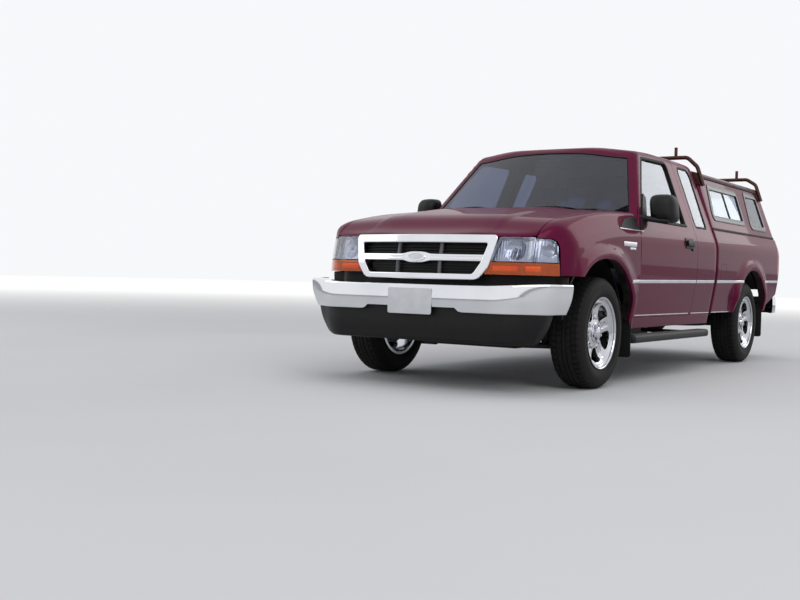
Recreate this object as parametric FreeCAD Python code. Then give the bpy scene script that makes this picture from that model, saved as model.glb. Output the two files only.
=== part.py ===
"""Compact extended-cab pickup truck with a load-bed canopy, roof rack, step bars and mud flaps.

Millimetres. +Z is up, the truck faces -Y, its left side is +X. The origin is on the ground, at the middle
of the truck's length and width. Lengths along the truck are given from the front axle and moved by fy().
"""
import FreeCAD, Part
import math
import os
from FreeCAD import Vector

# Clearances
PANEL_GAP = 6.0
SEAT_GAP = 0.3

# Lengths along the truck
FRONT_OVERHANG = 893.0
DOOR_FRONT_Y = 555.0
DOOR_LENGTH = 1158.0
QUARTER_LENGTH = 479.0
BED_GAP = 24.0
BED_TO_AXLE = 977.0
BED_BEHIND_AXLE = 907.0
REAR_BUMPER_REACH = 161.0

# Widths, from the middle
HALF_WIDTH = 874.0
SILL_TUCK = 62.0
TUMBLEHOME = 244.0
CANOPY_TUMBLEHOME = 219.0
FENDER_TOP_WIDTH = 146.0
REAR_POST_WIDTH = 159.0
LAMP_REACH = 369.0
RAIL_INSET = 504.0
FRONT_WHEEL_INSET = 131.0
REAR_WHEEL_INSET = 146.0
CROWN_INSET = 300.0
PILLAR_WIDTH = 55.0
REAR_CORNER = 210.0

# Heights
SILL_Z = 355.0
BELT_Z = 1092.0
WIDEST_BELOW_BELT = 352.0
SHOULDER_BELOW_BELT = 117.0
GREENHOUSE_HEIGHT = 512.0
ROOF_CROWN = 51.0
ROOF_DROP = 29.0
ROOF_PEAK_BEHIND = 700.0
DOOR_BOTTOM_Z = 432.0
FLOOR_Z = 520.0
FLOOR_THICK = 30.0
TUNNEL_HALF = 95.0
TUNNEL_HEIGHT = 180.0
BED_SKIRT_Z = 436.0
BED_FLOOR_Z = 660.0
LAMP_BELOW_BELT = 187.0
LAMP_HEIGHT = 146.0
AMBER_HEIGHT = 73.0

# Windshield: a slice of a large cylinder that leans back
WINDSHIELD_AHEAD = 127.0
WINDSHIELD_RUN = 514.0
WINDSHIELD_RADIUS = 2600.0

# Wall thicknesses
DOOR_THICK = 75.0
DOOR_FLANGE = 15.0
DOOR_STEP = 20.0
DOOR_CORNER_DROP = 70.0
PILLAR_RUN = 513.0
HINGE_STRAP = 60.0
HINGE_HEIGHTS = (560.0, 880.0)
CAB_WALL = 60.0
SKIN = 25.0
BED_WALL = 60.0
CANOPY_WALL = 30.0
GLASS = 5.0
GLASS_DEPTH = 14.0

# Wheels
TYRE_RADIUS = 345.0
TYRE_WIDTH = 225.0
TYRE_SHOULDER = 45.0
SIDEWALL_DROP = 75.0
RIM_RADIUS = 209.0
RIM_WIDTH = 206.0
RIM_WALL = 9.0
RIM_LIP = 14.0
RIM_LIP_THICK = 8.0
SPOKE_COUNT = 5
SPOKE_WIDTH = 78.0
SPOKE_DEPTH = 34.0
SPOKE_RECESS = 28.0
HUB_RADIUS = 78.0
CAP_RADIUS = 36.0
DISC_RADIUS = 140.0
DISC_THICK = 24.0
DRUM_THICK = 75.0
ARCH_CLEARANCE = 110.0
ARCH_LIP = 62.0
ARCH_PROUD = 8.0
LINER = 12.0

# Front end
NOSE_SETBACK = 61.0
LAMP_SWEEP = 272.0
LAMP_DEPTH = 70.0
LAMP_RAKE = 78.0
GRILLE_HEIGHT = 250.0
GRILLE_TAPER = 118.0
GRILLE_RING = 40.0
GRILLE_PROUD = 14.0
GRILLE_DEPTH = 50.0
GRILLE_BAR = 40.0
RADIATOR_BEHIND = 212.0
RADIATOR_DEPTH = 100.0
BUMPER_BELOW_LAMP = 76.0
BUMPER_HEIGHT = 144.0
BUMPER_DEPTH = 60.0
BUMPER_PROUD = 10.0
VALANCE_HEIGHT = 188.0
VALANCE_TUCK = 24.0
PLATE_WIDTH = 304.8
PLATE_HEIGHT = 152.4
PLATE_THICK = 3.0
HOOD_BEHIND_DOOR_LINE = 103.0
FIREWALL_AHEAD = 85.0

# Load bed and rear end
TAILGATE_THICK = 55.0
TAILGATE_BOTTOM_Z = 645.0
REAR_POST_DEPTH = 95.0
TAIL_LAMP_HEIGHT = 240.0
REAR_BUMPER_TOP_Z = 565.0
REAR_BUMPER_HEIGHT = 155.0
REAR_BUMPER_SHEET = 24.0
TOW_HOLE_R = 10.0
TOW_PLATE = 6.0
FUEL_DOOR_SIZE = 132.0
FUEL_DOOR_THICK = 12.0

# Canopy and rack
CANOPY_EDGE_HEIGHT = 470.0
CANOPY_CROWN = 47.0
CANOPY_REAR_LEAN = 40.0
CANOPY_FRONT_LEAN = 24.0
CANOPY_WINDOW_Z = 1175.0
CANOPY_WINDOW_HEIGHT = 300.0
HATCH_FRAME = 50.0
RACK_TUBE_R = 16.0
RACK_POST_HEIGHT = 83.0
RACK_POST_INSET = 170.0
RACK_FRONT_SETBACK = 58.0
RACK_REAR_SETBACK = 120.0
RACK_PLATE_WIDTH = 100.0
RACK_PLATE_HEIGHT = 115.0
RACK_PLATE_THICK = 8.0

# Chassis
RAIL_WIDTH = 60.0
RAIL_Z = 380.0
RAIL_KICK = 120.0
KINGPIN_INSET = 98.0
KNUCKLE_HALF = 88.0
ARM_THICK = 24.0
AXLE_TUBE_R = 42.0
SPRING_OUT = 130.0
SPRING_HALF = 640.0
SPRING_EYE_Z = 482.0
CROSSMEMBER_LENGTH = 56.0
CROSSMEMBER_HEIGHT = 70.0
CRADLE_HALF = 170.0
CRADLE_TOP_Z = 300.0
RAIL_REAR_DEPTH = 100.0
CASING_RADIUS = 125.0
PINION_REACH = 230.0
ENGINE_AHEAD = 470.0
ENGINE_LENGTH = 710.0
ENGINE_WIDTH = 400.0
ENGINE_HEIGHT = 400.0
ENGINE_Z = 470.0
GEARBOX_LENGTH = 910.0

# Extras
STEP_WIDTH = 106.0
STEP_PROUD = 56.0
STEP_HEIGHT = 46.0
STEP_Z = 272.0
FLAP_THICK = 6.0
MIRROR_REACH = 152.0
SEAT_OUTER = 264.0
STEERING_RADIUS = 190.0

# Values that follow from the ones above
DOOR_REAR_Y = DOOR_FRONT_Y + DOOR_LENGTH
CAB_REAR_Y = DOOR_REAR_Y + QUARTER_LENGTH
BED_FRONT_Y = CAB_REAR_Y + BED_GAP
WHEELBASE = BED_FRONT_Y + BED_TO_AXLE
BED_REAR_Y = WHEELBASE + BED_BEHIND_AXLE
TAIL_Y = BED_REAR_Y + REAR_BUMPER_REACH
LENGTH = FRONT_OVERHANG + TAIL_Y
FRONT_AXLE_Y = FRONT_OVERHANG - LENGTH / 2.0
FIREWALL_Y = DOOR_FRONT_Y - FIREWALL_AHEAD
HOOD_REAR_Y = DOOR_FRONT_Y - HOOD_BEHIND_DOOR_LINE
WINDSHIELD_Y = DOOR_FRONT_Y - WINDSHIELD_AHEAD
NOSE_Y = NOSE_SETBACK - FRONT_OVERHANG
LAMP_OUTER_Y = NOSE_Y + LAMP_SWEEP
RADIATOR_Y = NOSE_Y + RADIATOR_BEHIND
SILL_X = HALF_WIDTH - SILL_TUCK
ROOF_EDGE_X = HALF_WIDTH - TUMBLEHOME
HOOD_SIDE_X = HALF_WIDTH - FENDER_TOP_WIDTH
TAILGATE_HALF = HALF_WIDTH - REAR_POST_WIDTH
LAMP_INNER_X = HALF_WIDTH - LAMP_REACH
BUMPER_HALF = HALF_WIDTH + BUMPER_PROUD
RAIL_X = HALF_WIDTH - RAIL_INSET
SHOULDER_X = HALF_WIDTH - 2.0
STEP_X = SILL_X + STEP_PROUD
SPRING_X = RAIL_X + SPRING_OUT
WIDEST_Z = BELT_Z - WIDEST_BELOW_BELT
SHOULDER_Z = BELT_Z - SHOULDER_BELOW_BELT
ROOF_EDGE_Z = BELT_Z + GREENHOUSE_HEIGHT
ROOF_Z = ROOF_EDGE_Z + ROOF_CROWN
DOOR_TOP_Z = ROOF_EDGE_Z - 14.0
TUNNEL_Z = FLOOR_Z + TUNNEL_HEIGHT
BED_RAIL_Z = BELT_Z + 3.0
LAMP_TOP_Z = BELT_Z - LAMP_BELOW_BELT
LAMP_SPLIT_Z = LAMP_TOP_Z - LAMP_HEIGHT
LAMP_BOTTOM_Z = LAMP_SPLIT_Z - AMBER_HEIGHT
BUMPER_TOP_Z = LAMP_BOTTOM_Z - BUMPER_BELOW_LAMP
BUMPER_BOTTOM_Z = BUMPER_TOP_Z - BUMPER_HEIGHT
ARCH_RADIUS = TYRE_RADIUS + ARCH_CLEARANCE
FRONT_WHEEL_X = HALF_WIDTH - FRONT_WHEEL_INSET
REAR_WHEEL_X = HALF_WIDTH - REAR_WHEEL_INSET
KINGPIN_X = FRONT_WHEEL_X - KINGPIN_INSET
LINER_X = RAIL_X + RAIL_WIDTH / 2.0 + 10.0
WHEELHOUSE_X = REAR_WHEEL_X - TYRE_WIDTH / 2.0 - 63.5
CANOPY_BASE_Z = BED_RAIL_Z + SEAT_GAP
CANOPY_EDGE_X = HALF_WIDTH - CANOPY_TUMBLEHOME
CANOPY_EDGE_Z = CANOPY_BASE_Z + CANOPY_EDGE_HEIGHT
CANOPY_TOP_Z = CANOPY_EDGE_Z + CANOPY_CROWN
DOOR_INNER_X = HALF_WIDTH - DOOR_THICK
RAIL_DEPTH = FLOOR_Z - FLOOR_THICK - RAIL_Z - SEAT_GAP
RAIL_REAR_Z = RAIL_Z + RAIL_KICK
SEAT_INNER_X = TUNNEL_HALF + 65.0
SEAT_OUTER_X = HALF_WIDTH - SEAT_OUTER
DRIVER_X = (SEAT_INNER_X + SEAT_OUTER_X) / 2.0
FAR = 1400.0
PARTS = {}


def fy(distance):
    """Y of a point that lies this far behind the front axle."""
    return FRONT_AXLE_Y + distance


def at(plane, u, v):
    """Point of a drawing plane: xy, xz or yz."""
    return {"xy": Vector(u, v, 0), "xz": Vector(u, 0, v), "yz": Vector(0, u, v)}[plane]


def outline(plane, points):
    """Closed wire through (u, v, radius) corners; a corner with a radius is an arc."""
    count = len(points)
    starts, arcs = [], []
    for i, corner in enumerate(points):
        p = Vector(corner[0], corner[1], 0)
        radius = corner[2] if len(corner) > 2 else 0.0
        before = points[i - 1]
        after = points[(i + 1) % count]
        a = (Vector(before[0], before[1], 0) - p).normalize()
        b = (Vector(after[0], after[1], 0) - p).normalize()
        turn = math.pi - a.getAngle(b)
        if radius <= 0 or turn < 1e-4:
            starts.append((p, p))
            arcs.append(None)
            continue
        reach = radius * math.tan(turn / 2.0)
        middle = p + (a + b).normalize() * (radius / math.cos(turn / 2.0) - radius)
        starts.append((p + a * reach, p + b * reach))
        arcs.append(middle)
    edges = []
    for i in range(count):
        first, last = starts[i]
        if arcs[i] is not None:
            ends = [at(plane, q.x, q.y) for q in (first, arcs[i], last)]
            edges.append(Part.Arc(*ends).toShape())
        following = starts[(i + 1) % count][0]
        if (following - last).Length > 1e-6:
            ends = [at(plane, q.x, q.y) for q in (last, following)]
            edges.append(Part.LineSegment(*ends).toShape())
    return Part.Wire(edges)


def prism(plane, points, low, high):
    """Solid of an outline, from low to high along the plane's normal."""
    normal = {"xy": Vector(0, 0, 1), "xz": Vector(0, 1, 0), "yz": Vector(1, 0, 0)}[plane]
    wire = outline(plane, points)
    wire.translate(normal * low)
    return Part.Face(wire).extrude(normal * (high - low))


def inset(points, distance):
    """The corners of an outline moved inward by a distance; the radii shrink with it."""
    count = len(points)
    area = sum(points[i - 1][0] * points[i][1] - points[i][0] * points[i - 1][1] for i in range(count))
    side = 1.0 if area > 0 else -1.0
    lines = []
    for i in range(count):
        (ax, ay), (bx, by) = points[i][:2], points[(i + 1) % count][:2]
        length = math.hypot(bx - ax, by - ay)
        nx, ny = -(by - ay) / length * side, (bx - ax) / length * side
        lines.append((nx, ny, nx * ax + ny * ay + distance))
    moved = []
    for i in range(count):
        (a1, b1, c1), (a2, b2, c2) = lines[i - 1], lines[i]
        det = a1 * b2 - a2 * b1
        u, v = (c1 * b2 - c2 * b1) / det, (a1 * c2 - a2 * c1) / det
        radius = points[i][2] if len(points[i]) > 2 else 0.0
        moved.append((u, v, max(radius - distance, 0.0) if radius else 0.0))
    return moved


def box(x, y, z):
    """Box from (low, high) pairs."""
    return Part.makeBox(x[1] - x[0], y[1] - y[0], z[1] - z[0], Vector(x[0], y[0], z[0]))


def centred(width, y, z, x=0.0):
    """Box of a width about a middle x."""
    return box((x - width / 2.0, x + width / 2.0), y, z)


def rod(start, end, radius):
    """Cylinder between two points."""
    a, b = Vector(*start), Vector(*end)
    return Part.makeCylinder(radius, (b - a).Length, a, b - a)


def pipe(points, radius, bend):
    """Round bar along straight runs joined by tangent arcs of one radius."""
    path = [Vector(*p) for p in points]
    edges, last = [], path[0]
    for i in range(1, len(path) - 1):
        a = (path[i - 1] - path[i]).normalize()
        b = (path[i + 1] - path[i]).normalize()
        turn = math.pi - a.getAngle(b)
        reach = bend * math.tan(turn / 2.0)
        middle = path[i] + (a + b).normalize() * (bend / math.cos(turn / 2.0) - bend)
        edges.append(Part.LineSegment(last, path[i] + a * reach).toShape())
        edges.append(Part.Arc(path[i] + a * reach, middle, path[i] + b * reach).toShape())
        last = path[i] + b * reach
    edges.append(Part.LineSegment(last, path[-1]).toShape())
    direction = path[1] - path[0]
    circle = Part.Wire(Part.makeCircle(radius, path[0], direction))
    return Part.Wire(edges).makePipeShell([circle], True, False)


def revolved(points):
    """Solid turned about the X axis from an (x, radius, corner radius) outline."""
    return Part.Face(outline("xz", points)).revolve(Vector(0, 0, 0), Vector(1, 0, 0), 360.0)


def mirrored(shape):
    """The shape on the truck's other side."""
    return shape.mirror(Vector(0, 0, 0), Vector(1, 0, 0))


def both(points):
    """A half outline, from the centre out and up, closed by its own mirror image."""
    other = [(-p[0],) + tuple(p[1:]) for p in reversed(points) if p[0] > 0]
    return list(points) + other


def fuse(*shapes):
    """One shape of several that overlap or touch."""
    return shapes[0].multiFuse(list(shapes[1:])).removeSplitter() if len(shapes) > 1 else shapes[0]


def keep(name, *shapes):
    """Stores a sub-part as its closed solids."""
    solids = [s for shape in shapes for s in shape.Solids]
    PARTS[name] = solids[0] if len(solids) == 1 else Part.makeCompound(solids)


def pair(name, shape):
    """Stores a left and a right sub-part."""
    keep(name + "_left", shape)
    keep(name + "_right", mirrored(shape))


# Body surfaces shared by several panels
def body_half():
    """Half section of the cab: (x, z, radius) from the sill to the roof's middle."""
    return [
        (SILL_X, SILL_Z, 12.0),
        (HALF_WIDTH, WIDEST_Z, 1200.0),
        (SHOULDER_X, SHOULDER_Z, 300.0),
        (ROOF_EDGE_X, ROOF_EDGE_Z, 75.0),
        (ROOF_EDGE_X - CROWN_INSET, ROOF_Z, 1300.0),
    ]


def side_x(z):
    """Half width of the cab's side at a height above the shoulder."""
    slope = (SHOULDER_X - ROOF_EDGE_X) / (ROOF_EDGE_Z - SHOULDER_Z)
    return SHOULDER_X - slope * (z - SHOULDER_Z)


def cab_profile():
    """Side view of the cab without its windshield: (y, z, radius). Its roof passes just over the section."""
    roof_z = ROOF_Z + 4.0
    return [
        (fy(FIREWALL_Y), SILL_Z),
        (fy(FIREWALL_Y), ROOF_EDGE_Z - ROOF_DROP),
        (fy(DOOR_FRONT_Y + ROOF_PEAK_BEHIND), roof_z, 400.0),
        (fy(CAB_REAR_Y - 60.0), roof_z, 120.0),
        (fy(CAB_REAR_Y), ROOF_EDGE_Z - 60.0, 120.0),
        (fy(CAB_REAR_Y), SILL_Z),
    ]


def ahead_of_windshield(distance):
    """Everything above the belt and outside the leaning cylinder that the windshield is a slice of."""
    lean = Vector(0, WINDSHIELD_RUN, GREENHOUSE_HEIGHT).normalize()
    inward = Vector(0, lean.z, -lean.y)
    foot = Vector(0, fy(WINDSHIELD_Y), BELT_Z) + inward * WINDSHIELD_RADIUS
    cylinder = Part.makeCylinder(WINDSHIELD_RADIUS - distance, 4.0 * FAR, foot - lean * (2.0 * FAR), lean)
    block = box((-FAR, FAR), (fy(-FAR), fy(CAB_REAR_Y)), (BELT_Z - distance, 2.0 * FAR))
    return block.cut(cylinder)


def cab_solid(distance=0.0):
    """The cab's closed form, moved inward by a distance."""
    section = both(body_half())
    profile = cab_profile()
    if distance:
        section, profile = inset(section, distance), inset(profile, distance)
    form = prism("xz", section, fy(0.0), fy(WHEELBASE)).common(prism("yz", profile, -FAR, FAR))
    return form.cut(ahead_of_windshield(distance))


def door_outline(grow=0.0):
    """Side view of the door: (y, z, radius). grow widens it by the panel gap."""
    points = [
        (fy(DOOR_FRONT_Y), DOOR_BOTTOM_Z, 20.0),
        (fy(DOOR_FRONT_Y), BELT_Z - DOOR_CORNER_DROP, 40.0),
        (fy(DOOR_FRONT_Y + PILLAR_RUN), DOOR_TOP_Z, 40.0),
        (fy(DOOR_REAR_Y), DOOR_TOP_Z, 60.0),
        (fy(DOOR_REAR_Y), DOOR_BOTTOM_Z, 40.0),
    ]
    return inset(points, -grow) if grow else points


def door_window():
    """Side view of the door's window: (y, z, radius)."""
    return [
        (fy(DOOR_FRONT_Y + 100.0), BELT_Z),
        (fy(DOOR_FRONT_Y + PILLAR_RUN + 8.0), DOOR_TOP_Z - 42.0, 45.0),
        (fy(DOOR_REAR_Y - 133.0), DOOR_TOP_Z - 30.0, 45.0),
        (fy(DOOR_REAR_Y - 158.0), BELT_Z, 20.0),
    ]


def quarter_window():
    """Side view of the window behind the door: (y, z, radius)."""
    return [
        (fy(DOOR_REAR_Y + 71.0), BELT_Z, 25.0),
        (fy(DOOR_REAR_Y + 103.0), DOOR_TOP_Z - 38.0, 40.0),
        (fy(CAB_REAR_Y - 102.0), DOOR_TOP_Z - 38.0, 60.0),
        (fy(CAB_REAR_Y - 151.0), BELT_Z, 25.0),
    ]


def windshield_edges():
    """Front view of the windshield opening: (x, z, radius)."""
    base, top = BELT_Z + 30.0, ROOF_EDGE_Z - 14.0
    return both([
        (side_x(base) - PILLAR_WIDTH, base, 40.0),
        (side_x(top) - PILLAR_WIDTH, top, 60.0),
    ])


def rear_window():
    """Front view of the cab's rear window: (x, z, radius)."""
    base, top = BELT_Z + 45.0, ROOF_EDGE_Z - 70.0
    return both([(side_x(base) - REAR_CORNER, base, 50.0), (side_x(top) - 0.6 * REAR_CORNER, top, 50.0)])


def build_cab():
    outer, inner = cab_solid(), cab_solid(CAB_WALL)
    left = prism("yz", door_outline(PANEL_GAP), 0.0, FAR)
    window = prism("yz", quarter_window(), 0.0, FAR)
    front = prism("xz", windshield_edges(), fy(0.0), fy(DOOR_FRONT_Y + PILLAR_RUN + CAB_WALL))
    back = prism("xz", rear_window(), fy(CAB_REAR_Y - 3.0 * CAB_WALL), fy(WHEELBASE))
    shell = outer.cut(inner).cut(front).cut(back)
    shell = shell.cut(left).cut(mirrored(left)).cut(window).cut(mirrored(window))
    # The fender's rear end laps the outside of the pillar ahead of the door.
    shell = shell.cut(clip_solid().cut(clip_solid(SKIN + SEAT_GAP)))
    # The open floor between the sills takes the floor pan, and the end walls stand on the rails.
    sill = (SILL_X - CAB_WALL) * 2.0
    ends = (fy(FIREWALL_Y + CAB_WALL), fy(CAB_REAR_Y - CAB_WALL))
    shell = shell.cut(centred(sill, ends, (0.0, FLOOR_Z)))
    shell = shell.cut(centred(sill, (fy(0.0), fy(WHEELBASE)), (0.0, FLOOR_Z - FLOOR_THICK)))
    tunnel = (fy(0.0), fy(FIREWALL_Y + 2.0 * CAB_WALL))
    shell = shell.cut(centred(2.0 * (TUNNEL_HALF + 10.0), tunnel, (0.0, TUNNEL_Z)))
    straps = []
    for height in HINGE_HEIGHTS:
        strap = box(
            (DOOR_INNER_X + 1.0, DOOR_INNER_X + 24.0),
            (fy(FIREWALL_Y + 30.0), fy(DOOR_FRONT_Y + DOOR_STEP) - SEAT_GAP),
            (height, height + HINGE_STRAP),
        )
        straps += [strap, mirrored(strap)]
    keep("cab_shell", fuse(shell, *straps))

    under = FLOOR_Z - FLOOR_THICK
    section = both([
        (TUNNEL_HALF, TUNNEL_Z, 40.0), (TUNNEL_HALF + 30.0, under),
        (sill / 2.0, under), (sill / 2.0, FLOOR_Z),
        (TUNNEL_HALF + 55.0, FLOOR_Z), (TUNNEL_HALF + 25.0, TUNNEL_Z + FLOOR_THICK, 60.0),
    ])
    keep("cab_floor", prism("xz", section, *ends))

    between = cab_solid(GLASS_DEPTH).cut(cab_solid(GLASS_DEPTH + GLASS))
    side = between.common(window)
    keep("cab_glass", between.common(front), between.common(back), side, mirrored(side))


def left_side():
    """Everything outside the left side wall's inner face."""
    margin = DOOR_THICK + 5.0
    inner = side_x(ROOF_EDGE_Z) - margin
    points = [
        (SILL_X - margin, 0.0), (FAR, 0.0), (FAR, 2.0 * FAR), (inner, 2.0 * FAR),
        (inner, ROOF_EDGE_Z), (SHOULDER_X - margin, SHOULDER_Z), (SILL_X - margin, SILL_Z),
    ]
    return prism("xz", points, fy(0.0), fy(WHEELBASE))


def build_doors():
    half = left_side()
    hole = prism("yz", door_window(), 0.0, FAR)
    skin = cab_solid().cut(cab_solid(DOOR_FLANGE)).common(half).common(prism("yz", door_outline(), 0.0, FAR))
    core = cab_solid(DOOR_FLANGE).cut(cab_solid(DOOR_THICK)).common(half)
    core = core.common(prism("yz", inset(door_outline(), DOOR_STEP), 0.0, FAR))
    pair("door", fuse(skin, core).cut(hole))
    glass = cab_solid(GLASS_DEPTH).cut(cab_solid(GLASS_DEPTH + GLASS)).common(half)
    pair("door_glass", glass.common(hole))


# Front clip sections: y from the front axle, corner's height over the belt, its inset, crown's height over it
CLIP_SECTIONS = [
    (DOOR_FRONT_Y, 34.0, 68.0, 24.0),
    (100.0, 12.0, 68.0, 24.0),
    (-380.0, -62.0, 74.0, 26.0),
    (-530.0, -98.0, 80.0, 26.0),
    (-660.0, -160.0, 86.0, 28.0),
    (NOSE_Y - 28.0, -226.0, 94.0, 30.0),
]


def clip_solid(distance=0.0):
    """The closed form of fenders, hood and nose, moved inward by a distance."""
    wires = []
    for y, rise, corner_inset, crown in CLIP_SECTIONS:
        corner_z = BELT_Z + rise
        half = [
            (SILL_X, SILL_Z, 12.0),
            (HALF_WIDTH, (SILL_Z + corner_z) / 2.0 - 60.0, 500.0),
            (HALF_WIDTH - 4.0, corner_z - 150.0, 200.0),
            (HALF_WIDTH - corner_inset, corner_z, 55.0),
            (ROOF_EDGE_X - CROWN_INSET, corner_z + crown, 1300.0),
        ]
        points = inset(both(half), distance) if distance else both(half)
        wire = outline("xz", points)
        wire.translate(Vector(0, fy(y), 0))
        wires.append(wire)
    body = Part.makeLoft(wires, True, True)
    nose = [
        (fy(FAR), 0.0), (fy(FAR), 2.0 * FAR), (fy(LAMP_OUTER_Y), 2.0 * FAR),
        (fy(NOSE_Y + 132.0), LAMP_TOP_Z + 40.0, 120.0), (fy(NOSE_Y + LAMP_RAKE), LAMP_TOP_Z, 30.0),
        (fy(NOSE_Y), LAMP_SPLIT_Z, 120.0), (fy(NOSE_Y), 0.0),
    ]
    plan = [(0.0, fy(NOSE_Y))] + both([
        (HALF_WIDTH - 174.0, fy(NOSE_Y + 120.0), 160.0), (HALF_WIDTH + 30.0, fy(LAMP_OUTER_Y + 90.0), 60.0),
        (FAR, fy(0.0)), (FAR, fy(FAR)),
    ])
    if distance:
        nose, plan = inset(nose, distance), inset(plan, distance)
    return body.common(prism("yz", nose, -FAR, FAR)).common(prism("xy", plan, 0.0, 2.0 * FAR))


def arch(axle_y, radius, low=0.0, high=FAR):
    """Cylinder along X about a wheel's centre."""
    return rod((low, fy(axle_y), TYRE_RADIUS), (high, fy(axle_y), TYRE_RADIUS), radius)


def flare(axle_y):
    """Rolled lip round the left wheel opening."""
    root, face = HALF_WIDTH - 32.0, HALF_WIDTH + ARCH_PROUD
    section = [
        (root, ARCH_RADIUS), (face, ARCH_RADIUS, 5.0), (face, ARCH_RADIUS + 14.0, 6.0),
        (face - 14.0, ARCH_RADIUS + ARCH_LIP, 30.0), (root, ARCH_RADIUS + ARCH_LIP),
    ]
    ring = revolved(section)
    ring.translate(Vector(0, fy(axle_y), TYRE_RADIUS))
    reach = ARCH_RADIUS + 2.0 * ARCH_LIP
    span = (fy(axle_y - reach), fy(axle_y + reach))
    return ring.common(box((0.0, FAR), span, (TYRE_RADIUS + 120.0, 2.0 * FAR)))


def hood_edges(gap):
    """Plan of the hood: (x, y, radius)."""
    x = HOOD_SIDE_X - gap
    return both([(x, fy(NOSE_Y + 97.0 + gap), 30.0), (x, fy(HOOD_REAR_Y - gap), 25.0)])


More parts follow.
